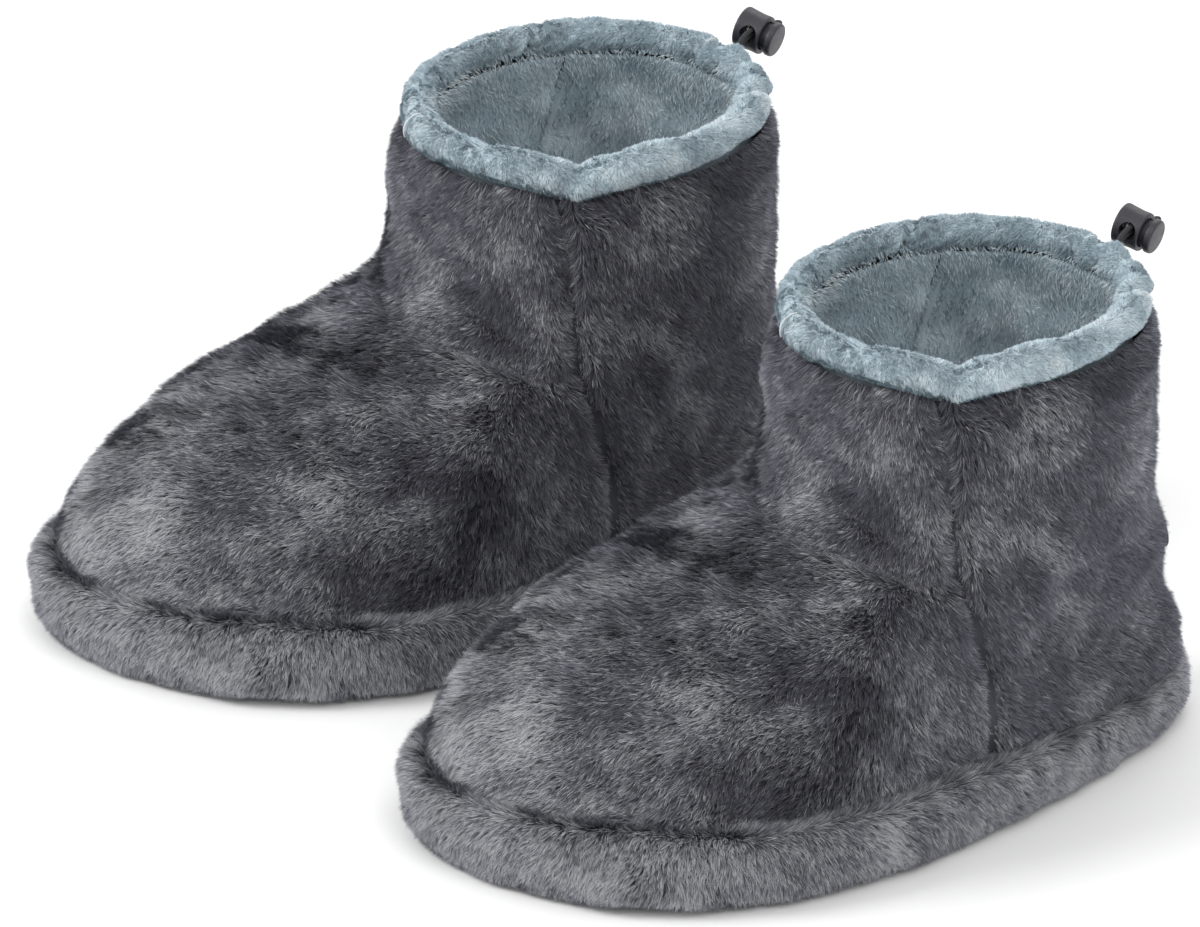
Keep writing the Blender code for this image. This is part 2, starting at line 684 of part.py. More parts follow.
def build_lock(side):
    """Cup with a cross hole, a sprung plunger in it, and the strands that it grips."""
    empty = link(bpy.data.objects.new(f"{side}_cord_lock_place", None))
    empty.matrix_world = lock_matrix()
    floor = -LOCK_FLOOR_END + LOCK_FLOOR
    cup_profile = (
        (0, floor),
        (LOCK_BORE, floor),
        (LOCK_BORE, LOCK_MOUTH_END),
        (LOCK_MOUTH_OUTER - LOCK_EDGE, LOCK_MOUTH_END),
        (LOCK_MOUTH_OUTER, LOCK_MOUTH_END - LOCK_EDGE),
        (LOCK_OUTER, -LOCK_FLOOR_END + LOCK_EDGE),
        (LOCK_OUTER - LOCK_EDGE, -LOCK_FLOOR_END),
        (0, -LOCK_FLOOR_END),
    )
    cup = hang(turned(f"{side}_cord_lock_body", cup_profile, "black_plastic"), empty)
    hole = rod(f"{side}_cord_lock_hole", LOCK_HOLE, 2 * LOCK_OUTER + OVERRUN, cutters)
    hole.parent = empty
    hole.matrix_local = Matrix.Rotation(math.pi / 2, 4, "Y")
    cut(cup, hole)
    slot_low = STRAND_OFFSET - CORD / 2 - GAP
    slot_high = STRAND_OFFSET + CORD / 2 + GAP + PLUNGER_TRAVEL
    plunger_end = slot_low - PLUNGER_END
    head_low = LOCK_MOUTH_END + PLUNGER_TRAVEL + HEAD_CLEARANCE
    head_high = head_low + HEAD_THICK
    stem = LOCK_BORE - GAP
    plunger_profile = (
        (0, head_high),
        (HEAD_RADIUS - HEAD_EDGE, head_high),
        (HEAD_RADIUS, head_high - HEAD_EDGE),
        (HEAD_RADIUS, head_low + HEAD_EDGE / 2),
        (HEAD_RADIUS - HEAD_EDGE / 2, head_low),
        (stem, head_low),
        (stem, plunger_end),
        (0, plunger_end),
    )
    plunger = hang(turned(f"{side}_cord_lock_plunger", plunger_profile, "black_plastic"), empty)
    slot_size = (2 * LOCK_OUTER, 2 * (STRAND_HALF + CORD / 2 + GAP), slot_high - slot_low)
    slot = block(f"{side}_plunger_slot", slot_size, home=cutters)
    slot.parent = empty
    slot.location = (0, 0, (slot_high + slot_low) / 2)
    cut(plunger, slot)
    spring_low = floor + GAP / 2 + SPRING_WIRE / 2
    spring_high = plunger_end - GAP / 2 - SPRING_WIRE / 2
    count = SPRING_TURNS * SPRING_POINTS
    coil = []
    for index in range(count + 1):
        angle = 2 * math.pi * index / SPRING_POINTS
        height = spring_low + (spring_high - spring_low) * index / count
        coil.append((SPRING_RADIUS * math.cos(angle), SPRING_RADIUS * math.sin(angle), height))
    spring = hang(tube(f"{side}_cord_lock_spring", coil, SPRING_WIRE, "spring_steel"), empty)
    return [empty, cup, plunger, hole, slot, spring]


def cord_gate(lock):
    """Turn round the collar where the cross hole's line meets its hollow."""
    turns = np.linspace(np.pi, 3 * np.pi / 2, ROW_SAMPLES)
    away = collar_centre(turns)[:, :2] - np.array(lock.translation[:2])
    miss = away[:, 0] * lock.col[0].y - away[:, 1] * lock.col[0].x
    return float(turns[np.abs(miss).argmin()])


def strand_route(lock, offset, gate_turn, direction):
    """One strand from its tail, through the lock and into the collar's hollow, which it then
    follows one way or the other."""
    gate = Vector(collar_centre(gate_turn))
    beside = Vector(collar_centre(gate_turn + direction * CORD_GAP_TURN))
    along = (beside - gate).normalized()
    outward = Vector((lock.translation.x - gate.x, lock.translation.y - gate.y, 0)).normalized()
    ends = (-LOCK_OUTER - TAIL_RUN, LOCK_OUTER + CORD / 2)
    route = [lock @ Vector((end, -offset, STRAND_OFFSET)) for end in ends]
    for step in range(BEND_STEPS + 1):
        angle = math.pi / 2 * step / BEND_STEPS
        place = gate + STRAND_BEND * (
            outward * (1 - math.sin(angle)) + along * (1 - math.cos(angle))
        )
        place.z = gate.z + offset - CORD_DROP / 2 * (1 - math.cos(angle))
        route.append(place)
    return route, gate, outward


def build_drawcord(side, collar):
    """Elastic loop: round the hollow of the collar, out at the back and through the lock."""
    lock = lock_matrix()
    gate_turn = cord_gate(lock)
    upper_strand, gate, outward = strand_route(lock, STRAND_HALF, gate_turn, 1)
    lower_strand = strand_route(lock, -STRAND_HALF, gate_turn, -1)[0]
    away, home = gate_turn + CORD_GAP_TURN, gate_turn + 2 * np.pi - CORD_GAP_TURN
    ring = collar_centre(np.linspace(away, home, CORD_COLUMNS)) - np.array([0, 0, CORD_DROP])
    tail = lock @ Vector((-LOCK_OUTER - TAIL_RUN - CORD, TAIL_DROP / 2, STRAND_OFFSET))
    route = [tuple(point) for point in upper_strand]
    route += [tuple(point) for point in ring]
    route += [tuple(point) for point in lower_strand[::-1]]
    route.append(tuple(tail))
    cord = tube(f"{side}_drawcord", route, CORD, "cord_elastic", cyclic=True)
    opening = rod(f"{side}_cord_opening", CORD_HOLE, OVERRUN, cutters)
    bend = gate + outward * STRAND_BEND
    course = (lock @ Vector((LOCK_OUTER + CORD / 2, 0, STRAND_OFFSET)) - bend).normalized()
    opening.location = bend + course * (OVERRUN / 2 - CORD)
    opening.rotation_euler = course.to_track_quat("Z", "Y").to_euler()
    cut(collar, opening)
    return [cord, opening]


def build_boot(side, share):
    """One whole boot, carried by an empty at its place in the pair."""
    place = bpy.data.objects.new(f"{side}_boot_place", None)
    link(place)
    place.location = (share * PAIR_SPREAD, share * PAIR_STAGGER, 0)
    pieces, foam_top = build_sole(side)
    upper, quarter, counter = build_upper(side, foam_top)
    pieces += upper
    pieces += build_inlet(side, quarter, counter, foam_top)
    collar = build_collar(side)
    pieces.append(collar)
    pieces += build_lock(side)
    pieces += build_drawcord(side, collar)
    for piece in pieces:
        if piece.parent is None:
            piece.parent = place


for old in list(bpy.data.objects):
    bpy.data.objects.remove(old)
parts = bpy.data.collections.new(COLLECTION)
cutters = bpy.data.collections.new("cutters")
bpy.context.scene.collection.children.link(parts)
bpy.context.scene.collection.children.link(cutters)
cutters.hide_render = True
materials = {name: add_material(name) for name in COLOURS}
for side_name, side_share in SIDES.items():
    build_boot(side_name, side_share)
bpy.context.view_layer.update()
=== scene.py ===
import json
import math

import bmesh
import bpy
import numpy as np
from mathutils import Matrix, Vector


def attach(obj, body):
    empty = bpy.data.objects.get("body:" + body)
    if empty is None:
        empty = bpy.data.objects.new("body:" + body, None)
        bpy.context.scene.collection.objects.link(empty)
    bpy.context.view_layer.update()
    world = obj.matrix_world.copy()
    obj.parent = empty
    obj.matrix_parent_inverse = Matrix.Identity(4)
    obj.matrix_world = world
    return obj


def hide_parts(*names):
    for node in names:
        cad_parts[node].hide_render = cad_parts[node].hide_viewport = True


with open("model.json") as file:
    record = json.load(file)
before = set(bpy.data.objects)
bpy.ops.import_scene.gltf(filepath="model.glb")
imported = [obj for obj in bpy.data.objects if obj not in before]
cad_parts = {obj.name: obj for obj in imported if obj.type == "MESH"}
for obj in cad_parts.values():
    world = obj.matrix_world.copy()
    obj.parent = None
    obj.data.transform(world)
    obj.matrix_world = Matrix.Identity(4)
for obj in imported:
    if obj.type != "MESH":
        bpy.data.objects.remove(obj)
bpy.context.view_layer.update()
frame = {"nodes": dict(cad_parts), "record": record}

# Lengths are in metres. The toes point to -Y, and +X is the wearer's left.
scene = bpy.context.scene
PLACES = {"left": (0.10385, 0.02515), "right": (-0.10385, -0.02515)}

# Form of one boot, the same as its solids have
OUTLINE_MIDDLE = (0.005498, 0.039299)
TOE_LENGTH, HEEL_LENGTH = 0.1107, 0.1893
BALL_OUTER, BALL_INNER = 0.083, 0.072
HEEL_OUTER, HEEL_INNER = 0.050, 0.061
TOE_TURN, HEEL_TURN = 0.0175, 0.006
TOE_ROUND, HEEL_ROUND = 0.916, 0.56
SHAFT_BACK, SHAFT_LONG, SHAFT_WIDE = 0.0991, 0.0691, 0.0622
UPPER_TOP, SHAFT_PUFF, UPPER_INSET = 0.1772, 0.005, 0.006
SHAFT_TURN, SEAM_TWIST = math.radians(24.5), math.radians(22)
DIP, DIP_TURN, DIP_WIDTH, DIP_START = 0.004, math.radians(88), math.radians(13), 0.75
HEIGHTS = (0, 0.09, 0.18, 0.27, 0.36, 0.431, 0.490, 0.553, 0.66, 0.78, 0.90, 1)
REACHES = (1, 0.971, 0.911, 0.811, 0.655, 0.48, 0.31, 0.16, 0.04, 0.005, 0, 0)
PUFFS = (0, 0.1, 0.45, 0.74, 0.8, 0.6, 0.4, 0.3, 0.39, 0.8, 0.85, 0.2)
TOP_ROW = len(HEIGHTS) - 1
BAND_HEIGHT, BAND_HEEL_HEIGHT, GAP = 0.0336, 0.0262, 0.0003
BAND_FALL_START, BAND_FALL_WIDTH = 65, 75
LINING_DEPTH = 0.0128
SOLE_RIM, INSOLE_LOW = -0.0113, 0.0161
COLLAR_TUBE = 0.0065
COLLAR_HEIGHT = UPPER_TOP + GAP + COLLAR_TUBE * math.cos(math.radians(38))
INLET_ASIDE, INLET_HEIGHT, INLET_CLEAR = -0.0115, 0.070, 0.0075

# Cord lock: its cross hole runs along its own X, and its button comes out along its own Z
LOCK_PLACE = (-0.025898, 0.139401, 0.185622)
HOLE_AXIS = (0.592426, -0.764458, 0.254235)
BUTTON_AXIS = (0.805625, 0.562012, -0.187381)
LOCK_OUTER, LOCK_MOUTH_OUTER, LOCK_BORE, LOCK_HOLE = 0.0078, 0.0074, 0.0054, 0.0033
LOCK_FLOOR_END, LOCK_FLOOR, LOCK_MOUTH_END = 0.0060, 0.0012, 0.0044
CORD, STRAND_HALF, STRAND_OFFSET, STRAND_BEND = 0.0020, 0.0012, 0.0005, 0.0030
TAIL_RUN, CORD_LAY, CORD_SIDES = 0.0095, 0.0017, 14
BUTTON_TRAVEL, BUTTON_RADIUS, BUTTON_THICK = 0.0016, 0.0065, 0.0028

# Camera: the photograph's direction, with a long lens
AZIMUTH, ELEVATION = math.radians(64.06), math.radians(26.53)
DISTANCE, PIXELS_PER_METRE = 9.0, 2765.4
FRAME_WIDTH, FRAME_HEIGHT, SENSOR = 1200, 927, 36
LEFT_BOOT_PIXEL = (819.3, 791.8)


def add_camera():
    """Camera that puts the left boot's origin at its place in the photograph."""
    toward = Vector((
        math.sin(AZIMUTH) * math.cos(ELEVATION),
        -math.cos(AZIMUTH) * math.cos(ELEVATION),
        math.sin(ELEVATION),
    ))
    right = Vector((math.cos(AZIMUTH), math.sin(AZIMUTH), 0))
    up = toward.cross(right)
    aside = (LEFT_BOOT_PIXEL[0] - FRAME_WIDTH / 2) / PIXELS_PER_METRE
    below = (LEFT_BOOT_PIXEL[1] - FRAME_HEIGHT / 2) / PIXELS_PER_METRE
    place = Vector((*PLACES["left"], 0)) - right * aside + up * below + toward * DISTANCE
    data = bpy.data.cameras.new("camera")
    data.sensor_fit = "HORIZONTAL"
    data.sensor_width = SENSOR
    data.lens = PIXELS_PER_METRE * DISTANCE / FRAME_WIDTH * SENSOR
    camera = bpy.data.objects.new("camera", data)
    turn = Matrix((right, up, toward)).transposed().to_4x4()
    camera.matrix_world = Matrix.Translation(place) @ turn
    scene.collection.objects.link(camera)
    scene.camera = camera


add_camera()


# Forms
def signed_power(value, exponent):
    return np.sign(value) * np.abs(value) ** exponent


def ease(value):
    value = np.clip(value, 0, 1)
    return value * value * (3 - 2 * value)


def foot_outline(turn, swell):
    ahead, aside = np.cos(turn), np.sin(turn)
    front, back = TOE_LENGTH + swell, HEEL_LENGTH + swell
    y = np.where(
        ahead > 0, -front * signed_power(ahead, TOE_ROUND), back * signed_power(-ahead, HEEL_ROUND)
    )
    rear = ease(y / back)
    fore = np.clip(-y / front, 0, 1)
    ball = np.where(aside > 0, BALL_OUTER, BALL_INNER)
    heel = np.where(aside > 0, HEEL_OUTER, HEEL_INNER)
    half = ball + (heel - ball) * rear + swell
    x = half * aside - TOE_TURN * fore**2 - HEEL_TURN * rear
    return np.stack([x - OUTLINE_MIDDLE[0], y - OUTLINE_MIDDLE[1]], -1)


def shaft_outline(turn, swell):
    turned = turn - SHAFT_TURN * np.sin(turn)
    x = (SHAFT_WIDE + swell) * np.sin(turned)
    y = SHAFT_BACK - (SHAFT_LONG + swell) * np.cos(turned)
    return np.stack([x - OUTLINE_MIDDLE[0], y - OUTLINE_MIDDLE[1]], -1)


def turn_apart(first, second):
    return np.angle(np.exp(1j * (first - second)))


def seam_dip(turn):
    return DIP * np.exp(-((turn_apart(turn, DIP_TURN) / DIP_WIDTH) ** 2))


def band_top(turn):
    """Height of the top of the sole band, which is lower round the heel."""
    away = np.degrees(np.abs(turn_apart(turn, 0)))
    return BAND_HEIGHT - (BAND_HEIGHT - BAND_HEEL_HEIGHT) * ease(
        (away - BAND_FALL_START) / BAND_FALL_WIDTH
    )


def smooth_through(values, at):
    """Smooth curve through values at 0, 1, 2 and so on, read at any places between them."""
    values = np.asarray(values, float)
    slopes = np.gradient(values, axis=0)
    last = len(values) - 1
    at = np.clip(at, 0, last)
    low = np.minimum(at.astype(int), last - 1)
    share = (at - low).reshape(at.shape + (1,) * (values.ndim - 1))
    rise = values[low + 1] - values[low]
    start, end = slopes[low], slopes[low + 1]
    return values[low] + share * (
        start + share * (3 * rise - 2 * start - end + share * (start + end - 2 * rise))
    )


def upper_base(column, row):
    """Point of the smooth upper, on the tips of its pile."""
    column, row = np.broadcast_arrays(np.asarray(column, float), np.asarray(row, float))
    height = smooth_through(HEIGHTS, row)
    reach = smooth_through(REACHES, row)[..., None]
    puff = smooth_through(PUFFS, row)[..., None]
    turn = column - SEAM_TWIST * height
    slim, full = shaft_outline(turn, 0), shaft_outline(turn, SHAFT_PUFF)
    flat = (slim + (full - slim) * puff) * (1 - reach) + foot_outline(turn, -UPPER_INSET) * reach
    near_top = np.clip((height - DIP_START) / (1 - DIP_START), 0, 1)
    low = band_top(turn) + GAP
    z = low + (UPPER_TOP - low) * height
    return np.concatenate([flat, (z - seam_dip(turn) * near_top)[..., None]], -1)


def waves(points, size, seed, count=24):
    """Smooth random field over points, about 0 with a spread of 1, in bumps about size across."""
    picks = np.random.default_rng(seed)
    way = picks.normal(size=(count, 3))
    way *= (math.pi / size * picks.uniform(0.6, 1.4, count) / np.linalg.norm(way, axis=1))[:, None]
    phase = picks.uniform(0, 2 * math.pi, count)
    return math.sqrt(2 / count) * np.cos(points @ way.T + phase).sum(-1)


def unit(vectors):
    return vectors / np.maximum(np.linalg.norm(vectors, axis=-1, keepdims=True), 1e-12)


def grid_normals(points):
    across, up = np.gradient(points, axis=1), np.gradient(points, axis=0)
    return unit(np.cross(across, up))


def dent(distance, width):
    return np.exp(-((distance / width) ** 2))


# Seams and creases of the upper, as pairs of degrees round from the toe and row. A crease also has
# its depth and width. The panels reach past their seams by the laps, in degrees and in rows.
SEAM_LAP, CROSS_LAP = 0.8, 0.08
SEAM_DEPTH, CROSS_DEPTH, SEAM_WIDTH = 0.0034, 0.0020, 0.0026
SEAM_PUFF, CROSS_PUFF, PUFF_AWAY, PUFF_WIDTH = 0.0009, 0.0006, 0.009, 0.006
HEEL_BULGE, BULGE_TOP, BULGE_RISE = 0.0058, 0.060, 0.026
SEAM_ROWS = (0, 1.2, 2.6, 4.5, 6.4, 8.3, 11)
SEAM_DEGREES = (104, 106.5, 108.5, 108.5, 106, 103, 104)
CROSS_DEGREES = (0, 46, 70.5, 92.5, 108)
CROSS_ROWS = (7.7, 7.4, 7.3, 6.9, 6.3)
CREASES = (
    (((62, 8.5), (76.5, 7.9), (87.5, 7.4), (95, 7.15)), 0.0024, 0.0042),
    (((84, 8.65), (92, 8.5), (99, 8.4), (104, 8.2)), 0.0016, 0.0040),
    (((72, 7.25), (79, 7.2), (94, 7.0), (103.5, 6.1)), 0.0018, 0.0035),
    (((-100, 8.2), (-84, 7.8), (-66, 7.9)), 0.0020, 0.0045),
    (((-104, 6.6), (-90, 7.0), (-72, 7.2)), 0.0018, 0.0040),
    (((140, 9.3), (160, 8.8), (182, 8.6)), 0.0012, 0.0050),
    (((196, 9.0), (216, 8.5), (238, 8.9)), 0.0012, 0.0050),
    (((126, 4.9), (141, 4.6), (158, 4.9)), 0.0009, 0.0060),
)


def seam_degrees(row):
    return np.interp(row, SEAM_ROWS, SEAM_DEGREES)


def cross_row(degrees):
    return np.interp(np.abs(degrees), CROSS_DEGREES, CROSS_ROWS)


def crease_distance(degrees, row, line, degree_size, row_size):
    """Least distance to a line of degrees and rows, in metres along the surface."""
    least = np.full(degrees.shape, 1.0)
    for (c0, r0), (c1, r1) in zip(line, line[1:]):
        ax, ay = (degrees - c0) * degree_size, (row - r0) * row_size
        bx, by = (c1 - c0) * degree_size, (r1 - r0) * row_size
        share = np.clip((ax * bx + ay * by) / (bx * bx + by * by), 0, 1)
        least = np.minimum(least, np.hypot(ax - share * bx, ay - share * by))
    return least


def upper_grid(degrees, row):
    """Tips of the pile with its seams, creases and swells, over a grid of degrees and rows."""
    base = upper_base(np.radians(degrees), row)
    normal = grid_normals(base)
    across = np.linalg.norm(np.gradient(base, axis=1), axis=-1)
    up = np.linalg.norm(np.gradient(base, axis=0), axis=-1)
    degree_size = across / np.maximum(np.abs(np.gradient(degrees, axis=1)), 1e-6)
    row_size = up / np.maximum(np.abs(np.gradient(row, axis=0)), 1e-6)
    wrapped = (degrees + 180) % 360 - 180
    relief = 0.0006 * waves(base, 0.026, 11) + 0.0003 * waves(base, 0.011, 12)
    seam = np.abs(np.abs(wrapped) - seam_degrees(row)) * degree_size
    relief -= SEAM_DEPTH * dent(seam, SEAM_WIDTH) - SEAM_PUFF * dent(seam - PUFF_AWAY, PUFF_WIDTH)
    ahead = ease((seam_degrees(row) + 1 - np.abs(wrapped)) / 2)
    cross = np.abs(row - cross_row(wrapped)) * row_size
    relief -= ahead * (
        CROSS_DEPTH * dent(cross, SEAM_WIDTH) - CROSS_PUFF * dent(cross - PUFF_AWAY, PUFF_WIDTH)
    )
    for line, deep, wide in CREASES:
        turned = degrees % 360 if line[0][0] > 110 else wrapped
        relief -= deep * dent(crease_distance(turned, row, line, degree_size, row_size), wide)
    uneven = 1 + 0.4 * waves(base, 0.03, 13)
    relief -= 0.0013 * uneven * dent((row - 9.75) * row_size, 0.0035)
    relief += 0.0006 * dent((row - 10.4) * row_size, 0.004)
    heel = ease((-np.cos(np.radians(wrapped)) - 0.15) / 0.6)
    relief += heel * HEEL_BULGE * ease((BULGE_TOP - base[..., 2]) / BULGE_RISE)
    return base + normal * relief[..., None]


# Meshes
def triangle_mesh(name, points, faces, uvs=None, normals=None, material=None):
    """Mesh of triangles. uvs has a pair for each point, and normals a direction."""
    mesh = bpy.data.meshes.new(name)
    mesh.vertices.add(len(points))
    mesh.vertices.foreach_set("co", np.asarray(points, np.float32).ravel())
    mesh.loops.add(faces.size)
    mesh.loops.foreach_set("vertex_index", faces.astype(np.int32).ravel())
    mesh.polygons.add(len(faces))
    mesh.polygons.foreach_set("loop_start", np.arange(0, faces.size, 3, dtype=np.int32))
    mesh.update(calc_edges=True)
    if uvs is not None:
        layer = mesh.uv_layers.new(name="OFBake")
        layer.uv.foreach_set("vector", uvs[faces.ravel()].astype(np.float32).ravel())
    if normals is not None:
        mesh.normals_split_custom_set_from_vertices(normals.astype(np.float32))
    if material:
        mesh.materials.append(material)
    return mesh


def sheet_faces(tall, wide, first=0, flip=False):
    low = first + (np.arange(tall - 1)[:, None] * wide + np.arange(wide - 1)).ravel()
    halves = np.concatenate([
        np.stack([low, low + 1, low + wide + 1], 1), np.stack([low, low + wide + 1, low + wide], 1)
    ])
    return halves[:, ::-1] if flip else halves


def shell_of(outer, inner):
    """Points and faces of a closed shell between two grids of one size."""
    tall, wide = outer.shape[:2]
    count = tall * wide
    faces = [sheet_faces(tall, wide), sheet_faces(tall, wide, count, flip=True)]
    index = np.arange(count).reshape(tall, wide)
    rim = np.concatenate([index[0], index[1:, -1], index[-1, -2::-1], index[-2:0:-1, 0]])
    after = np.roll(rim, -1)
    faces.append(np.stack([rim, rim + count, after + count], 1))
    faces.append(np.stack([rim, after + count, after], 1))
    return np.concatenate([outer.reshape(-1, 3), inner.reshape(-1, 3)]), np.concatenate(faces)


def scatter(grid, count, picks):
    """Even random places on a grid of points: each is a cell and two shares."""
    across = grid[:-1, 1:] - grid[:-1, :-1]
    up = grid[1:, :-1] - grid[:-1, :-1]
    area = np.linalg.norm(np.cross(across, up), axis=-1).ravel()
    total = np.cumsum(area)
    aims = (np.arange(count) + picks.random(count)) / count * total[-1]
    cell = np.minimum(np.searchsorted(total, aims), len(total) - 1)
    row, column = np.divmod(cell, grid.shape[1] - 1)
    return row, column, picks.random(count)[:, None], picks.random(count)[:, None]


def at_places(grid, places):
    row, column, up, across = places
    low = grid[row, column] * (1 - across) + grid[row, column + 1] * across
    high = grid[row + 1, column] * (1 - across) + grid[row + 1, column + 1] * across
    return low * (1 - up) + high * up


def tuft_of(points, size, seed):
    """Number of the tuft that each point belongs to, in uneven cells about size across."""
    bent = points + size * 0.45 * np.stack(
        [waves(points, size * 1.3, seed + k, 10) for k in range(3)], -1
    )
    cell = np.floor(bent / size).astype(np.int64)
    key = (cell[:, 0] * 73856093) ^ (cell[:, 1] * 19349663) ^ (cell[:, 2] * 83492791)
    return np.unique(key, return_inverse=True)[1]


def grow_pile(name, tips, flow, look, material, seed, keep=None, thin=0.0015, coarse=2):
    """Backing cloth with strands of pile on it. tips is the grid of their tips, flow gives the
    way that they are brushed, and look holds the sizes of the pile."""
    picks = np.random.default_rng(seed)
    normals = grid_normals(tips)
    backing = tips - normals * look["depth"]
    cloth = backing[::coarse, ::coarse]
    inner = cloth - normals[::coarse, ::coarse] * thin
    points, faces = shell_of(cloth, inner)
    # The cloth sits at the root end of the map, where the painted root shade darkens it.
    tone = look["cloth"] + 0.12 * waves(points, look["patch"], seed + 1)
    cloth_uv = np.stack([np.clip(tone, 0.02, 0.98), picks.uniform(0, 0.03, len(points))], -1)
    cloth_normals = np.concatenate([
        grid_normals(cloth).reshape(-1, 3), -grid_normals(inner).reshape(-1, 3)
    ])

    count = look["count"]
    width = look["width"] * 1
    grown = slice(look.get("bare", 0), -look.get("bare", 0) or None)
    places = scatter(backing[:, grown], count, picks)
    root, normal = at_places(backing[:, grown], places), unit(at_places(normals[:, grown], places))
    if keep is not None:
        kept = keep(root)
        root, normal = root[kept], normal[kept]
    count = len(root)
    tuft = tuft_of(root, look["tuft"], seed + 20)
    tufts = tuft.max() + 1
    along = flow(root, normal)
    along = unit(along - normal * (along * normal).sum(-1, keepdims=True))
    swirl = look["swirl"] * (waves(root, 0.016, seed + 2) + 0.7 * waves(root, 0.006, seed + 3))
    swirl += picks.normal(0, look["tuft_swirl"], tufts)[tuft]
    swirl += picks.normal(0, look["stray"], count)
    along = np.cos(swirl)[:, None] * along + np.sin(swirl)[:, None] * np.cross(normal, along)
    lean = look["lean"] + 0.10 * waves(root, 0.010, seed + 4)
    lean += picks.normal(0, 0.10, tufts)[tuft] + picks.normal(0, look["stray"] * 0.6, count)
    lean = np.clip(lean, 0.15, 1.4)[:, None]
    way = np.cos(lean) * normal + np.sin(lean) * along
    length = look["length"] * (
        1 + 0.10 * waves(root, 0.012, seed + 5) + picks.normal(0, 0.13, count)
    )
    tip = root + way * np.clip(length, look["length"] * 0.5, look["length"] * 1.35)[:, None]
    size = np.bincount(tuft, minlength=tufts)
    middle = np.stack([np.bincount(tuft, tip[:, k], tufts) / size for k in range(3)], -1)
    tip += look["gather"] * (middle[tuft] - tip)
    tip[:, 2] = np.maximum(tip[:, 2], 0.0004)
    side = unit(np.cross(normal, tip - root)) * width / 2

    tone = look["tone"](root) + look["blotch"] * waves(root, look["patch"], seed + 6)
    tone += 0.10 * waves(root, look["patch"] * 0.4, seed + 7)
    tone += picks.normal(0, look["tuft_tone"], tufts)[tuft] + picks.normal(0, look["mix"], count)
    tone = np.clip(tone, 0.01, 0.99)
    facing = unit(normal + picks.normal(0, look["glint"], (count, 3)))
    strand_points = np.stack([root + side, root - side, tip], 1).reshape(-1, 3)
    low = np.full(count, 0.02)
    strand_uv = np.stack([
        np.stack([tone + 0.004, low], -1),
        np.stack([tone - 0.004, low], -1),
        np.stack([tone, np.full(count, 0.98)], -1),
    ], 1).reshape(-1, 2)
    strand_faces = np.arange(3 * count).reshape(-1, 3) + len(points)
    return triangle_mesh(
        name,
        np.concatenate([points, strand_points]),
        np.concatenate([faces, strand_faces]),
        np.concatenate([cloth_uv, strand_uv]),
        np.concatenate([cloth_normals, np.repeat(facing, 3, 0)]),
        material,
    )


# Materials
def new_material(name, roughness=0.9, **sockets):
    material = bpy.data.materials.new(name)
    material.use_nodes = True
    shader = material.node_tree.nodes["Principled BSDF"]
    shader.inputs["Roughness"].default_value = roughness
    for socket, value in sockets.items():
        shader.inputs[socket.replace("_", " ")].default_value = value
    return material, material.node_tree, shader


def give(tree, socket, value):
    """A number, or a link from another node's socket."""
    if isinstance(value, bpy.types.NodeSocket):
        tree.links.new(value, socket)
    else:
        socket.default_value = value


def noise(tree, scale, detail=3, rough=0.5, stretch=(1, 1, 1)):
    place = tree.nodes.new("ShaderNodeTexCoord")
    mapping = tree.nodes.new("ShaderNodeMapping")
    node = tree.nodes.new("ShaderNodeTexNoise")
    tree.links.new(place.outputs["Object"], mapping.inputs["Vector"])
    tree.links.new(mapping.outputs["Vector"], node.inputs["Vector"])
    give(tree, mapping.inputs["Scale"], stretch)
    for label, value in (("Scale", scale), ("Detail", detail), ("Roughness", rough)):
        give(tree, node.inputs[label], value)
    return node.outputs["Fac"]


def remap(tree, value, low, high, start=0.3, end=0.7):
    node = tree.nodes.new("ShaderNodeMapRange")
    for label, number in (
        ("Value", value), ("From Min", start), ("From Max", end), ("To Min", low), ("To Max", high)
    ):
        give(tree, node.inputs[label], number)
    return node.outputs["Result"]


def new_group(name, inputs, outputs):
    """Group of shader nodes, with the sockets inside it that lead in and out."""
    group = bpy.data.node_groups.new(name, "ShaderNodeTree")
    for way, sockets in (("INPUT", inputs), ("OUTPUT", outputs)):
        for label, kind in sockets.items():
            group.interface.new_socket(label, in_out=way, socket_type=f"NodeSocket{kind}")
    start, end = group.nodes.new("NodeGroupInput"), group.nodes.new("NodeGroupOutput")
    return group, start.outputs, end.inputs


def use_group(tree, group, values):
    node = tree.nodes.new("ShaderNodeGroup")
    node.node_tree = group
    for label, value in values.items():
        node.inputs[label].default_value = value
    return node.outputs


def mixed(tree, factor, first, second, blend="MIX"):
    node = tree.nodes.new("ShaderNodeMix")
    node.data_type = "RGBA"
    node.blend_type = blend
    if factor is None:
        node.inputs["Factor"].default_value = 1
    else:
        tree.links.new(factor, node.inputs["Factor"])
    tree.links.new(first, node.inputs["A"])
    tree.links.new(second, node.inputs["B"])
    return node.outputs["Result"]


def grain_group():
    """Fine grain: two tones and a bump of the same noise."""
    group, given, made = new_group(
        "grain",
        {"Scale": "Float", "Detail": "Float", "Stretch": "Vector", "Dark": "Color",
         "Light": "Color", "Depth": "Float"},
        {"Color": "Color", "Normal": "Vector"},
    )
    value = noise(group, given["Scale"], given["Detail"], 0.6, given["Stretch"])
    share = remap(group, value, 0, 1)
    group.links.new(mixed(group, share, given["Dark"], given["Light"]), made["Color"])
    bump = group.nodes.new("ShaderNodeBump")
    group.links.new(given["Depth"], bump.inputs["Distance"])
    group.links.new(value, bump.inputs["Height"])
    group.links.new(bump.outputs["Normal"], made["Normal"])
    return group


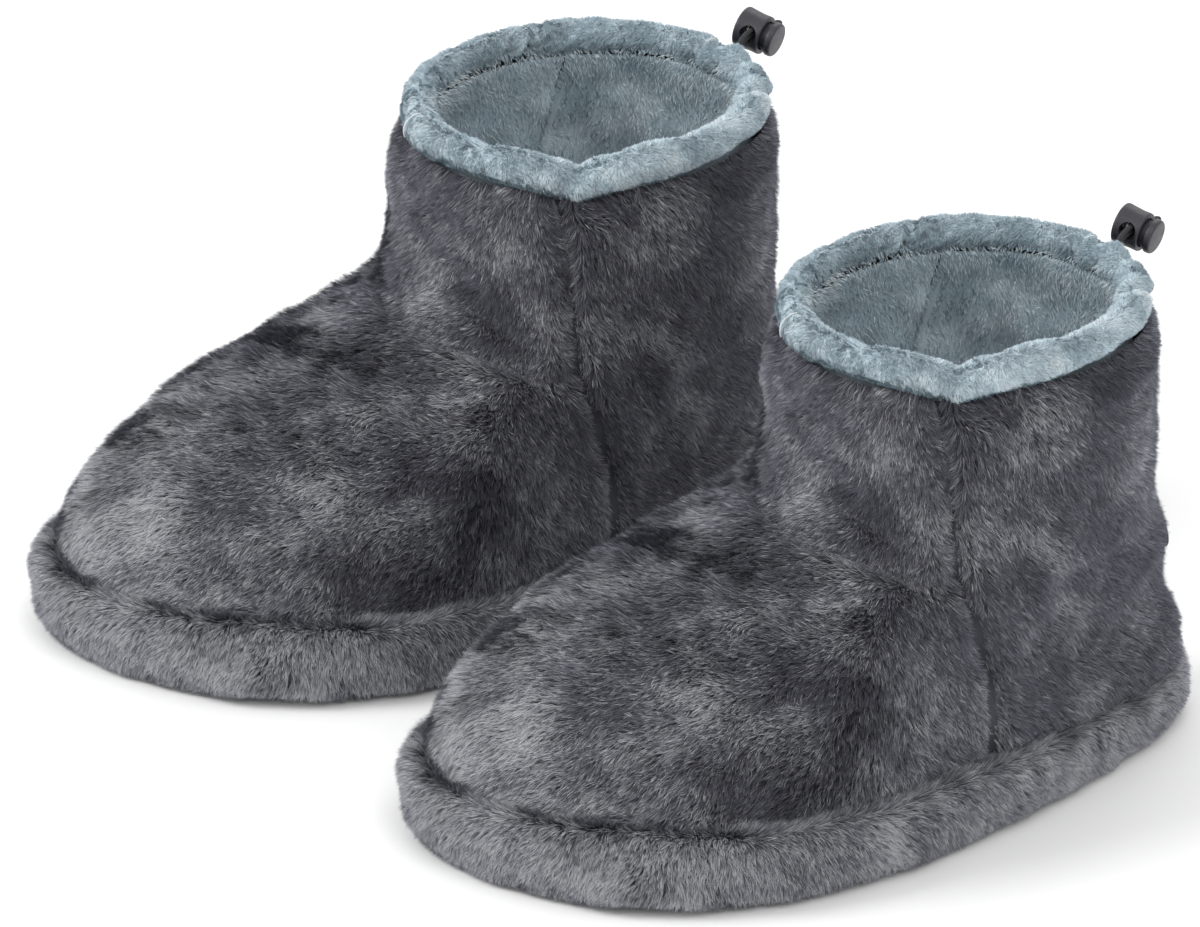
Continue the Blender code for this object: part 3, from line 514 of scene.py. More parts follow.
def wear_group():
    """Roughness that wanders between two values in soft patches."""
    group, given, made = new_group(
        "uneven_roughness",
        {"Scale": "Float", "Low": "Float", "High": "Float"}, {"Roughness": "Float"},
    )
    value = remap(group, noise(group, given["Scale"]), given["Low"], given["High"])
    group.links.new(value, made["Roughness"])
    return group


def pile_group():
    """Pile whose tone runs across its map, with painted shade that darkens its strands down the map
    to their roots, so that they lighten to their tips.
    """
    tones = ("Deep", "Dark", "Middle", "Light", "Pale")
    group, given, made = new_group(
        "pile_tone_with_root_shade",
        {**{tone: "Color" for tone in tones}, "Root": "Float", "Half": "Float"},
        {"Color": "Color"},
    )
    place = group.nodes.new("ShaderNodeUVMap")
    place.uv_map = "OFBake"
    parts = group.nodes.new("ShaderNodeSeparateXYZ")
    group.links.new(place.outputs["UV"], parts.inputs["Vector"])
    colour = given["Deep"]
    for tone, start, end in zip(tones[1:], (0, 0.3, 0.55, 0.8), (0.3, 0.55, 0.8, 1)):
        share = remap(group, parts.outputs["X"], 0, 1, start, end)
        colour = mixed(group, share, colour, given[tone])
    # Painted shade: strands go from Root at the root to Half near the middle and full tone at the
    # tip.
    low = remap(group, parts.outputs["Y"], given["Root"], given["Half"], 0, 0.45)
    light = remap(group, parts.outputs["Y"], low, 1, 0.45, 0.9)
    group.links.new(mixed(group, None, colour, light, "MULTIPLY"), made["Color"])
    return group


GRAIN, WEAR, PILE = grain_group(), wear_group(), pile_group()


# root and half give the painted shade at the strands' roots and halfway up them.
def pile_material(name, tones, root, half, sheen, tint):
    material, tree, shader = new_material(
        name, Specular_IOR_Level=0.2, Sheen_Weight=sheen, Sheen_Roughness=0.5, Sheen_Tint=tint
    )
    shades = zip(("Deep", "Dark", "Middle", "Light", "Pale"), tones)
    pile = use_group(
        tree, PILE, {"Root": root, "Half": half, **{label: (*tone, 1) for label, tone in shades}}
    )
    tree.links.new(pile["Color"], shader.inputs["Base Color"])
    rough = use_group(tree, WEAR, {"Scale": 220, "Low": 0.82, "High": 0.98})
    tree.links.new(rough["Roughness"], shader.inputs["Roughness"])
    return material


fur = pile_material(
    "slate_pile",
    ((0.062, 0.061, 0.078), (0.140, 0.140, 0.168), (0.235, 0.236, 0.268), (0.38, 0.385, 0.42),
     (0.64, 0.65, 0.68)),
    0.26, 0.62, 0.30, (0.80, 0.84, 1, 1),
)
fleece = pile_material(
    "pale_fleece",
    ((0.27, 0.36, 0.41), (0.46, 0.58, 0.65), (0.62, 0.75, 0.82), (0.76, 0.87, 0.92),
     (0.86, 0.94, 0.97)),
    0.66, 0.90, 0.25, (0.85, 0.93, 1, 1),
)


def plain_material(
    name, dark, light, scale, depth, roughness, detail=4, stretch=(1, 1, 1), **sockets
):
    material, tree, shader = new_material(name, roughness, **sockets)
    grain = use_group(tree, GRAIN, {
        "Scale": scale, "Detail": detail, "Stretch": stretch, "Dark": (*dark, 1),
        "Light": (*light, 1), "Depth": depth,
    })
    tree.links.new(grain["Color"], shader.inputs["Base Color"])
    tree.links.new(grain["Normal"], shader.inputs["Normal"])
    rough = use_group(tree, WEAR, {
        "Scale": scale * 0.35, "Low": roughness - 0.06, "High": min(1, roughness + 0.06),
    })
    tree.links.new(rough["Roughness"], shader.inputs["Roughness"])
    return material


black_plastic = plain_material(
    "black_plastic", (0.022, 0.022, 0.028), (0.033, 0.033, 0.041), 900, 0.00006, 0.42
)
looks = {
    "pile_fur": fur,
    "coral_fleece": fleece,
    "sole_fabric": plain_material(
        "sole_cloth", (0.035, 0.035, 0.042), (0.075, 0.075, 0.085), 1400, 0.0003, 0.88
    ),
    "foam": plain_material("cell_foam", (0.60, 0.60, 0.56), (0.80, 0.79, 0.75), 900, 0.0004, 0.9),
    "felt": plain_material(
        "needle_felt", (0.44, 0.41, 0.37), (0.62, 0.59, 0.54), 1600, 0.0003, 0.95
    ),
    "board": plain_material(
        "pressed_board", (0.48, 0.38, 0.26), (0.64, 0.54, 0.40), 500, 0.0001, 0.8,
        stretch=(1, 1, 6),
    ),
    "heating_cable": plain_material(
        "silicone_sheath", (0.28, 0.03, 0.022), (0.38, 0.05, 0.035), 700, 0.00004, 0.48
    ),
    "black_plastic": black_plastic,
    "cord_elastic": plain_material(
        "braided_cord", (0.010, 0.010, 0.012), (0.035, 0.035, 0.04), 2600, 0.0002, 0.75
    ),
    "spring_steel": plain_material(
        "drawn_steel", (0.42, 0.42, 0.43), (0.60, 0.60, 0.61), 1500, 0.00002, 0.28,
        Metallic=1.0, stretch=(1, 1, 8),
    ),
}
thread = plain_material("white_thread", (0.70, 0.70, 0.70), (0.88, 0.88, 0.88), 3000, 0.0001, 0.7)
dots = plain_material("grip_dots", (0.03, 0.03, 0.035), (0.05, 0.05, 0.056), 800, 0.00008, 0.6)

for row in frame["record"]["subparts"]:
    node = frame["nodes"][row["node"]]
    node.data.materials.clear()
    node.data.materials.append(looks[row["material_slot"]])


# Pieces
def place_pair(mesh, name, node, body=None, carrier=None):
    """The same mesh on both boots, standing for a CAD node of each."""
    made = []
    for side, place in PLACES.items():
        piece = bpy.data.objects.new(f"{side}_{name}", mesh)
        piece.matrix_world = Matrix.Translation((*place, 0)) @ (carrier or Matrix())
        scene.collection.objects.link(piece)
        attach(piece, f"{side}_{body}" if body else "boots")
        if node:
            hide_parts(*[f"{side}_{one}" for one in node])
        made.append(piece)
    return made


def brush_upper(points, normals):
    """Pile brushed to the toe in front, and down and back on the sides and the heel."""
    level = ease((np.abs(normals[:, 0]) - 0.25) / 0.4) + ease(normals[:, 1] / 0.4)
    behind = ease((points[:, 1] + 0.045) / 0.085) * np.minimum(level, 1)
    aside = np.zeros(len(points))
    return np.stack([aside, -0.95 + 1.35 * behind, -0.38 - 0.42 * behind], -1)


def brush_band(points, normals):
    behind = ease((points[:, 1] + 0.12) / 0.10)
    return np.stack([np.zeros(len(points)), -0.55 + 0.95 * behind, -np.ones(len(points))], -1)


def upper_tone_with_painted_light(points):
    """Tone of the pile: dark over the instep, with a painted highlight that makes the toe pale and
    painted shade that darkens the quarter.
    """
    # Painted highlight, lightest at the toe's front.
    toe = ease((-0.062 - points[:, 1] - 0.35 * points[:, 0]) / 0.075)
    # Painted shade on the quarter, behind the instep.
    behind = ease((points[:, 1] - 0.005) / 0.06)
    return 0.27 + 0.62 * toe - 0.12 * behind


def band_tone_with_painted_highlight(points):
    # Painted highlight: the band is lighter towards the toe.
    return 0.73 + 0.04 * ease((-0.06 - points[:, 1]) / 0.06)


def clear_of_inlet(root):
    """Whether each root is clear of the socket at the back of the heel."""
    away = np.hypot(root[:, 0] - INLET_ASIDE, root[:, 2] - INLET_HEIGHT)
    return (root[:, 1] < 0.10) | (away > INLET_CLEAR)


# The backing cloth's tone near 0 is painted shade, near black between the strands and in the seams.
LONG_PILE = {
    "depth": 0.0034, "length": 0.0047, "width": 0.00044, "lean": 0.86, "tuft": 0.0014,
    "swirl": 0.20, "tuft_swirl": 0.24, "stray": 0.24, "gather": 0.36, "tuft_tone": 0.17,
    "mix": 0.32, "glint": 0.46, "patch": 0.020, "blotch": 0.16, "cloth": 0.04,
    "tone": upper_tone_with_painted_light,
}


def upper_pieces():
    across = np.linspace(-1, 1, 180)[None, :]
    for name, below, count, rows, seed in (
        ("toe_vamp", True, 182000, 88, 174), ("front_shaft", False, 110000, 56, 102)
    ):
        steps = np.linspace(0, 1, rows)[:, None]
        row = np.zeros((rows, 180)) + steps * 7
        for _ in range(3):
            degrees = across * (seam_degrees(row) + SEAM_LAP)
            split = cross_row(degrees)
            first, last = (0, split + CROSS_LAP) if below else (split - CROSS_LAP, TOP_ROW)
            row = first + steps * (last - first)
        look = {**LONG_PILE, "count": count, "bare": 1}
        mesh = grow_pile(name, upper_grid(degrees, row), brush_upper, look, fur, seed)
        place_pair(mesh, f"{name}_pile", [name])
    row = np.linspace(0, TOP_ROW, 110)[:, None] + np.zeros((1, 120))
    share = np.linspace(0, 1, 120)[None, :]
    seam = seam_degrees(row)
    degrees = seam - SEAM_LAP + share * (360 - 2 * seam + 2 * SEAM_LAP)
    look = {**LONG_PILE, "count": 150000, "bare": 1}
    mesh = grow_pile(
        "rear_quarter", upper_grid(degrees, row), brush_upper, look, fur, 300, clear_of_inlet
    )
    place_pair(mesh, "rear_quarter_pile", ["rear_quarter"])


BAND_SECTION = (
    (-0.0100, 0.0012), (-0.0060, 0.0006), (-0.0022, 0.0016), (0.0008, 0.0058), (0.0025, 0.0120),
    (0.0030, 0.0190), (0.0022, 0.0258), (-0.0006, 0.0314), (-0.0046, 0.0336), (-0.0090, 0.0338),
)


def smooth_line(points, count):
    """Even points on a smooth curve through the given ones."""
    fine = smooth_through(points, np.linspace(0, len(points) - 1, count * 4))
    gone = np.concatenate([[0], np.cumsum(np.linalg.norm(np.diff(fine, axis=0), axis=1))])
    even = np.linspace(0, gone[-1], count)
    return np.stack([np.interp(even, gone, fine[:, k]) for k in range(fine.shape[1])], -1)


def band_piece():
    section = smooth_line(BAND_SECTION, 40)
    turn = np.linspace(0, 2 * math.pi, 440)
    flat = np.stack([foot_outline(turn, swell) for swell in section[:, 0]])
    heights = (section[:, 1:] * band_top(turn) / BAND_HEIGHT)[..., None]
    tips = np.concatenate([flat, heights], -1)
    relief = 0.0007 * waves(tips, 0.024, 31) + 0.0003 * waves(tips, 0.010, 32)
    lift = ease((tips[..., 2] - 0.001) / 0.006)
    tips = tips + grid_normals(tips) * (relief * lift)[..., None]
    look = {**LONG_PILE, "count": 180000, "lean": 0.80, "tone": band_tone_with_painted_highlight, "blotch": 0.06}
    mesh = grow_pile("sole_band", tips, brush_band, look, fur, 400)
    place_pair(mesh, "sole_band_pile", ["sole_band"])


# Places round the collar, in degrees, where its cloth is gathered: place, depth, width, slant
GATHERS = (
    (350, 0.0024, 1.9, 4), (306, 0.0016, 3.0, -6), (247, 0.0014, 1.6, 5), (242, 0.0016, 1.5, 3),
    (236, 0.0009, 1.8, -4), (226, 0.0013, 2.2, 16), (221, 0.0010, 2.0, 16), (193, 0.0018, 1.5, 2),
    (188, 0.0020, 1.7, -2), (182, 0.0016, 1.8, 3), (176, 0.0014, 1.6, -3), (158, 0.0022, 1.8, -5),
    (88, 0.0016, 2.4, 3), (97, 0.0007, 3.0, 12), (40, 0.0006, 4.0, 10), (125, 0.0006, 4.0, -10),
    (285, 0.0007, 3.0, 8), (265, 0.0006, 3.0, -8),
)


def collar_grid(turns, angles):
    """Tips of the fleece on the rolled collar. The angle goes from below, out and over."""
    turn, angle = np.meshgrid(turns, angles)
    line = shaft_outline(turn, -COLLAR_TUBE)
    place = np.concatenate([line, np.zeros((*turn.shape, 1))], -1)
    radius = COLLAR_TUBE * (1 + 0.05 * waves(place, 0.03, 41) + 0.03 * waves(place, 0.012, 42))
    degrees = np.degrees(turn)
    for where, deep, wide, slant in GATHERS:
        apart = (degrees - where - slant * (angle - math.pi) / 1.5 + 180) % 360 - 180
        radius = radius - deep * dent(apart, wide)
        radius = radius + 0.3 * deep * dent(np.abs(apart) - 2.4 * wide, wide)
    near = ease(((degrees + 10) % 360) / 3) * ease((168 - (degrees + 10) % 360) / 3)
    radius = radius + 0.0006 * near
    sway = 0.0006 * waves(place, 0.035, 43) + 0.0008 * near
    outward = (shaft_outline(turn, 0) - line) / COLLAR_TUBE
    flat = line + outward * (radius * np.sin(angle) + sway)[..., None]
    z = COLLAR_HEIGHT - 1.15 * seam_dip(turn) - radius * np.cos(angle) + sway * 0.6
    return np.concatenate([flat, z[..., None]], -1)


def brush_collar(points, normals):
    """Fleece that lies round the roll on a slant, out and down from its ridge."""
    flat = points[:, :2] + np.array(OUTLINE_MIDDLE) - np.array([0, SHAFT_BACK])
    out = unit(flat)
    swing = np.where(np.linalg.norm(flat / [SHAFT_WIDE, SHAFT_LONG], axis=1) > 0.9, 1.0, -0.6)
    ring = np.stack([-out[:, 1], out[:, 0]], -1)
    level = out * swing[:, None] + 0.5 * ring
    return np.concatenate([level, np.full((len(points), 1), -0.8)], -1)


SHORT_PILE = {
    "depth": 0.0010, "length": 0.0017, "width": 0.00027, "lean": 0.85, "tuft": 0.0022,
    "swirl": 0.30, "tuft_swirl": 0.30, "stray": 0.25, "gather": 0.35, "tuft_tone": 0.09,
    "mix": 0.24, "glint": 0.30, "patch": 0.016, "blotch": 0.13, "cloth": 0.5,
    "tone": lambda points: np.full(len(points), 0.50),
}


def collar_tone_with_painted_shade(points):
    """Tone of the collar's fleece, with painted shade that darkens its side away from the camera.
    """
    near = (points[:, 0] + 0.0055) * 0.9 - (points[:, 1] - 0.06) * 0.44
    return 0.42 - 0.22 * ease((0.012 - near) / 0.04)


def lining_tone_with_painted_light(points):
    # Painted light: the fleece is lighter towards the front.
    return 0.66 + 0.32 * ease((0.062 - points[:, 1]) / 0.06)


def collar_piece():
    tips = collar_grid(np.linspace(0, 2 * math.pi, 420), np.linspace(0.2, 2 * math.pi - 0.2, 44))
    look = {**SHORT_PILE, "count": 120000, "tone": collar_tone_with_painted_shade}
    mesh = grow_pile("collar", tips, brush_collar, look, fleece, 500, thin=0.0012)
    for piece in place_pair(mesh, "collar_fleece", ["collar_channel"]):
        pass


def lining_grid(degrees, height_share):
    """Inner face of the lining, from the collar down to the insole."""
    row = height_share * TOP_ROW
    base = upper_base(np.radians(degrees), row)
    normal = grid_normals(base)
    level = np.clip(np.minimum(row, TOP_ROW - row) / 1.5, 0, 1)
    normal[..., 2] *= level
    normal = unit(normal)
    face = base - normal * LINING_DEPTH
    wrapped = (degrees + 180) % 360 - 180
    degree_size, row_size = 0.0011, 0.0143
    relief = 0.0011 * waves(face, 0.022, 51) + 0.0005 * waves(face, 0.010, 52)
    seam = (np.abs(wrapped) - seam_degrees(row)) * degree_size
    relief += 0.0022 * dent(seam + 0.0030, 0.0032) - 0.0016 * dent(seam - 0.0012, 0.0016)
    for line, deep, wide in (
        (((-62, 10.6), (-68, 9.4), (-80, 8.6)), 0.0020, 0.0040),
        (((-128, 10.3), (-137, 9.4), (-143, 8.6)), 0.0020, 0.0045),
        (((-150, 10.6), (-160, 9.2), (-158, 7.8)), 0.0018, 0.0050),
    ):
        relief -= deep * dent(crease_distance(wrapped, row, line, degree_size, row_size), wide)
    tucked = ease((row - TOP_ROW + 1.6) / 1.2)
    relief = relief * (1 - tucked) + 0.0012 * tucked
    return face - normal * relief[..., None], normal


def brush_down(points, normals):
    return np.stack([np.zeros(len(points)), np.full(len(points), 0.25), -np.ones(len(points))], -1)


def lining_pieces():
    share = np.linspace(0, 1, 110)[:, None]
    for name, start, end, columns, seed in (
        ("lining_front", -1, 1, 190, 600), ("lining_rear", 1, 2, 130, 700)
    ):
        across = np.linspace(0, 1, columns)[None, :]
        seam = seam_degrees(share * TOP_ROW)
        first = -seam if start < 0 else seam
        last = seam if start < 0 else 360 - seam
        degrees = first + across * (last - first)
        face, normal = lining_grid(degrees, share + np.zeros_like(degrees))
        foot = face[:1].copy()
        foot[..., 2] = INSOLE_LOW
        turn = np.radians(degrees[-1]) - SEAM_TWIST
        top = np.concatenate(
            [shaft_outline(turn, 0.0015 - LINING_DEPTH), COLLAR_HEIGHT - seam_dip(turn)[:, None]], 1
        )
        tips = np.concatenate([foot, face, top[None]])[:, ::-1]
        look = {
            **SHORT_PILE, "count": 75000, "width": 0.00034, "length": 0.0018, "tone": lining_tone_with_painted_light
        }
        mesh = grow_pile(name, tips, brush_down, look, fleece, seed, thin=0.0025)
        place_pair(mesh, f"{name}_fleece", [name])


def insole_piece():
    """Fleece footbed, crowned in the middle and rounded at its edge."""
    inside = UPPER_INSET + LINING_DEPTH + 0.0006
    top, crown = 0.0054, 0.0010
    rings = ((0.0026, 0.0), (0, 0.25), (0, 0.6), (0.0008, 0.82), (0.0026, 0.94), (0.0060, 1.0))
    turn = np.linspace(0, 2 * math.pi, 200)
    rows = []
    for inset, rise in rings:
        flat = foot_outline(turn, -inside - inset)
        height = np.full((len(turn), 1), INSOLE_LOW + top * rise)
        rows.append(np.concatenate([flat, height], 1))
    middle = rows[-1].mean(0)
    for share in np.linspace(0.9, 0.02, 26):
        ring = middle + (rows[5] - middle) * share
        ring[:, 2] = INSOLE_LOW + top + crown * (1 - share**2)
        rows.append(ring)
    tips = np.stack(rows)
    tips[6:, :, 2] += 0.0004 * waves(tips[6:], 0.02, 61)
    look = {**SHORT_PILE, "count": 60000, "width": 0.00036}
    mesh = grow_pile("insole", tips, brush_down, look, fleece, 800, thin=0.0008, coarse=1)
    for piece in place_pair(mesh, "insole_fleece", ["insole"]):
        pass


def outsole_piece():
    """Cloth sole with rows of raised grip dots."""
    shape = bmesh.new()
    turn = np.linspace(0, 2 * math.pi, 144, endpoint=False)
    edge = foot_outline(turn, SOLE_RIM)
    rings = [
        [shape.verts.new((*point, z)) for point in foot_outline(turn, SOLE_RIM + swell)]
        for swell, z in ((-0.0010, 0.0006), (0, 0.0012), (0, 0.0026), (-0.0008, 0.0032))
    ]
    for low, high in zip(rings, rings[1:]):
        for k in range(len(low)):
            after = (k + 1) % len(low)
            shape.faces.new((low[k], low[after], high[after], high[k]))
    shape.faces.new(rings[0][::-1])
    shape.faces.new(rings[-1])
    inner = foot_outline(turn, SOLE_RIM - 0.005)
    pitch = 0.0064
    rows = 0
    y = edge[:, 1].min() + 0.006
    while y < edge[:, 1].max() - 0.004:
        crossing = inner[np.abs(inner[:, 1] - y) < 0.006]
        if len(crossing) > 1:
            x = crossing[:, 0].min() + (rows % 2) * pitch / 2
            while x < crossing[:, 0].max():
                add_dot(shape, x, y)
                x += pitch
        y += pitch * 0.866
        rows += 1
    mesh = bpy.data.meshes.new("outsole")
    shape.to_mesh(mesh)
    shape.free()
    mesh.materials.append(looks["sole_fabric"])
    mesh.materials.append(dots)
    place_pair(mesh, "outsole_cloth", ["outsole"])


def add_dot(shape, x, y, sides=8):
    rings = []
    for radius, z in ((0.0016, 0.0008), (0.0014, 0.0002), (0.0008, 0.00005)):
        rings.append([
            shape.verts.new((
                x + radius * math.cos(2 * math.pi * k / sides),
                y + radius * math.sin(2 * math.pi * k / sides),
                z,
            ))
            for k in range(sides)
        ])
    for low, high in zip(rings, rings[1:]):
        for k in range(sides):
            after = (k + 1) % sides
            shape.faces.new((low[k], high[k], high[after], low[after])).material_index = 1
    shape.faces.new(rings[-1][::-1]).material_index = 1
    shape.faces.new(rings[0]).material_index = 1


def tube_parts(path, radius, sides, first=0, closed=False):
    """Points and faces of a tube along a path, with ends that close to a point."""
    path = np.asarray(path, float)
    if closed:
        along = unit(np.roll(path, -1, 0) - np.roll(path, 1, 0))
    else:
        along = unit(np.gradient(path, axis=0))
    side = unit(np.cross(along[0], [0.3, 0.5, 0.81]))
    rings = []
    turn = np.linspace(0, 2 * math.pi, sides, endpoint=False)
    radii = np.broadcast_to(radius, (len(path), sides))[..., None]
    for place, way, far in zip(path, along, radii):
        side = unit(side - way * (side @ way))
        other = np.cross(way, side)
        rings.append(place + far * (np.cos(turn)[:, None] * side + np.sin(turn)[:, None] * other))
    points = np.concatenate(rings)
    faces = []
    count = len(path)
    for ring in range(count if closed else count - 1):
        low, high = ring * sides, (ring + 1) % count * sides
        for k in range(sides):
            after = (k + 1) % sides
            faces.append((low + k, low + after, high + after))
            faces.append((low + k, high + after, high + k))
    if not closed:
        tips = [path[:1] - along[:1] * radii[0, 0], path[-1:] + along[-1:] * radii[-1, 0]]
        points = np.concatenate([points, *tips])
        last = (count - 1) * sides
        for k in range(sides):
            after = (k + 1) % sides
            faces.append((count * sides, after, k))
            faces.append((count * sides + 1, last + k, last + after))
    return points, np.array(faces) + first


def tube_piece(name, paths, radius, material):
    all_points, all_faces, first = [], [], 0
    for path in paths:
        points, faces = tube_parts(path, radius, sides=8, first=first)
        all_points.append(points)
        all_faces.append(faces)
        first += len(points)
    points, faces = np.concatenate(all_points), np.concatenate(all_faces)
    return triangle_mesh(name, points, faces, material=material)


def turned(profile, steps=96):
    """Closed body turned about Z, from points of radius and height that start and end on it."""
    turn = np.linspace(0, 2 * math.pi, steps, endpoint=False)
    radius, height = np.array(profile[1:-1]).T
    rings = np.stack([
        radius[:, None] * np.cos(turn), radius[:, None] * np.sin(turn),
        np.broadcast_to(height[:, None], (len(radius), steps)),
    ], -1).reshape(-1, 3)
    points = np.concatenate([rings, [(0, 0, profile[0][1]), (0, 0, profile[-1][1])]])
    after = (np.arange(steps) + 1) % steps
    here = np.arange(steps)
    faces = [np.stack([np.full(steps, len(rings)), after, here], 1)]
    for low in range(0, len(rings) - steps, steps):
        high = low + steps
        faces.append(np.stack([low + here, low + after, high + after], 1))
        faces.append(np.stack([low + here, high + after, high + here], 1))
    last = len(rings) - steps
    faces.append(np.stack([np.full(steps, len(rings) + 1), last + here, last + after], 1))
    return points, np.concatenate(faces)


def rounded(corners, radius, steps=5):
    """Profile through the corners, with each one but the ends rounded off."""
    corners = [np.array(corner) for corner in corners]
    line = [corners[0]]
    for before, corner, after in zip(corners, corners[1:], corners[2:]):
        start, end = before - corner, after - corner
        reach = min(radius, 0.45 * np.linalg.norm(start), 0.45 * np.linalg.norm(end))
        start, end = unit(start) * reach, unit(end) * reach
        for share in np.linspace(0, 1, steps):
            line.append(corner + start * (1 - share) ** 2 + end * share**2)
    return line + [corners[-1]]


def cut_away(points, faces, tool_points, tool_faces, material):
    """Mesh of one closed body less another."""
    work = []
    for name, one_points, one_faces in (("work", points, faces), ("tool", tool_points, tool_faces)):
        piece = bpy.data.objects.new(name, triangle_mesh(name, one_points, one_faces))
        scene.collection.objects.link(piece)
        work.append(piece)
    less = work[0].modifiers.new("less", "BOOLEAN")
    less.operation = "DIFFERENCE"
    less.object = work[1]
    bpy.context.view_layer.update()
    result = work[0].evaluated_get(bpy.context.evaluated_depsgraph_get())
    mesh = bpy.data.meshes.new_from_object(result)
    for piece in work:
        bpy.data.objects.remove(piece)
    mesh.materials.clear()
    mesh.materials.append(material)
    mesh.shade_smooth()
    mesh.set_sharp_from_angle(angle=math.radians(32))
    return mesh


def lock_pieces():
    """Barrel with its cross hole, and the button whose slotted stem slides in it."""
    hole, button = Vector(HOLE_AXIS), Vector(BUTTON_AXIS)
    turn = Matrix((hole, button.cross(hole), button)).transposed().to_4x4()
    carrier = Matrix.Translation(LOCK_PLACE) @ turn
    floor = LOCK_FLOOR - LOCK_FLOOR_END
    cup = [(0, floor), (LOCK_BORE, floor), (LOCK_BORE, LOCK_MOUTH_END)]
    waist = [
        (LOCK_MOUTH_OUTER, LOCK_MOUTH_END), (LOCK_MOUTH_OUTER - 0.0001, 0.0006),
        (LOCK_OUTER - 0.0002, -0.0036), (LOCK_OUTER, -LOCK_FLOOR_END), (0, -LOCK_FLOOR_END),
    ]
    barrel = turned(rounded(cup + waist, 0.0009))
    rod_points, rod_faces = turned([
        (0, -0.02), (LOCK_HOLE, -0.02), (LOCK_HOLE, 0.02), (0, 0.02)
    ], 64)
    mesh = cut_away(*barrel, rod_points[:, [2, 0, 1]], rod_faces, black_plastic)
    place_pair(mesh, "cord_lock_barrel", ["cord_lock_body"], "cord_lock", carrier)

    low = STRAND_OFFSET - CORD / 2 - GAP
    high = STRAND_OFFSET + CORD / 2 + GAP + BUTTON_TRAVEL
    head = LOCK_MOUTH_END + BUTTON_TRAVEL + 0.0004
    stem = LOCK_BORE - GAP
    profile = [
        (0, low - 0.0008), (stem, low - 0.0008), (stem, head), (BUTTON_RADIUS, head),
        (BUTTON_RADIUS, head + BUTTON_THICK), (0, head + BUTTON_THICK),
    ]
    body = turned(rounded(profile, 0.0013))
    half = np.array([0.02, STRAND_HALF + CORD / 2 + GAP, (high - low) / 2])
    around = ((-1, -1), (1, -1), (1, 1), (-1, 1))
    corners = np.array([(x, y, z) for z in (-1, 1) for x, y in around])
    slot = corners * half + [0, 0, (high + low) / 2]
    sides = [(k, (k + 1) % 4, (k + 1) % 4 + 4, k + 4) for k in range(4)]
    quads = sides + [(3, 2, 1, 0), (4, 5, 6, 7)]
    faces = np.array([half for q in quads for half in (q[:3], (q[0], q[2], q[3]))])
    mesh = cut_away(*body, slot, faces, black_plastic)
    place_pair(
        mesh, "cord_lock_cap", ["cord_lock_plunger"], "cord_lock_button", carrier
    )
    return carrier


def collar_centre(turn):
    flat = shaft_outline(turn, -COLLAR_TUBE)
    return np.concatenate([flat, (COLLAR_HEIGHT - seam_dip(turn))[..., None]], -1)


def cord_piece(lock):
    """Braided elastic loop, round the collar's hollow and out through the lock."""
    hole = np.array(HOLE_AXIS)
    turns = np.linspace(math.pi, 1.5 * math.pi, 400)
    away = collar_centre(turns)[:, :2] - np.array(LOCK_PLACE)[:2]
    gate_turn = turns[np.abs(away[:, 0] * hole[1] - away[:, 1] * hole[0]).argmin()]
    gap_turn = math.radians(6)
    gate = collar_centre(gate_turn)
    outward = unit(np.array([*(np.array(LOCK_PLACE) - gate)[:2], 0]))
    strands = []
    for offset, direction in ((STRAND_HALF, 1), (-STRAND_HALF, -1)):
        along = unit(collar_centre(gate_turn + direction * gap_turn) - gate)
        ends = (-LOCK_OUTER - TAIL_RUN, LOCK_OUTER + CORD / 2)
        strand = [np.array(lock @ Vector((end, -offset, STRAND_OFFSET))) for end in ends]
        for angle in np.linspace(0, math.pi / 2, 5):
            place = gate + STRAND_BEND * (
                outward * (1 - math.sin(angle)) + along * (1 - math.cos(angle))
            )
            place[2] = gate[2] + offset - 0.00075 * (1 - math.cos(angle))
            strand.append(place)
        strands.append(strand)
    ring = collar_centre(np.linspace(gate_turn + gap_turn, gate_turn + 2 * math.pi - gap_turn, 60))
    tail = np.array(lock @ Vector((-LOCK_OUTER - TAIL_RUN - CORD, CORD, STRAND_OFFSET)))
    route = np.array([*strands[0], *(ring - [0, 0, 0.0015]), *strands[1][::-1], tail])
    path = []
    for k in range(len(route)):
        before, start, end, after = (route[(k + step) % len(route)] for step in (-1, 0, 1, 2))
        near = np.linalg.norm(start - LOCK_PLACE) < 0.03
        count = max(2, int(np.linalg.norm(end - start) / (0.00028 if near else 0.0015)))
        for share in np.linspace(0, 1, count, endpoint=False):
            path.append(
                start + 0.5 * share * (
                    end - before + share * (
                        2 * before - 5 * start + 4 * end - after
                        + share * (3 * (start - end) + after - before)
                    )
                )
            )
    gone = np.cumsum(np.linalg.norm(np.diff(path, axis=0, prepend=path[:1]), axis=1))[:, None]
    lay = gone * 2 * math.pi / CORD_LAY
    turn = 3 * np.linspace(0, 2 * math.pi, CORD_SIDES, endpoint=False)
    radius = CORD / 2 * (0.93 + 0.07 * np.cos(lay + turn) * np.cos(lay - turn))
    points, faces = tube_parts(path, radius, CORD_SIDES, closed=True)
    mesh = triangle_mesh("drawcord", points, faces, material=looks["cord_elastic"])
    mesh.shade_smooth()
    place_pair(mesh, "drawcord_braid", ["drawcord"])


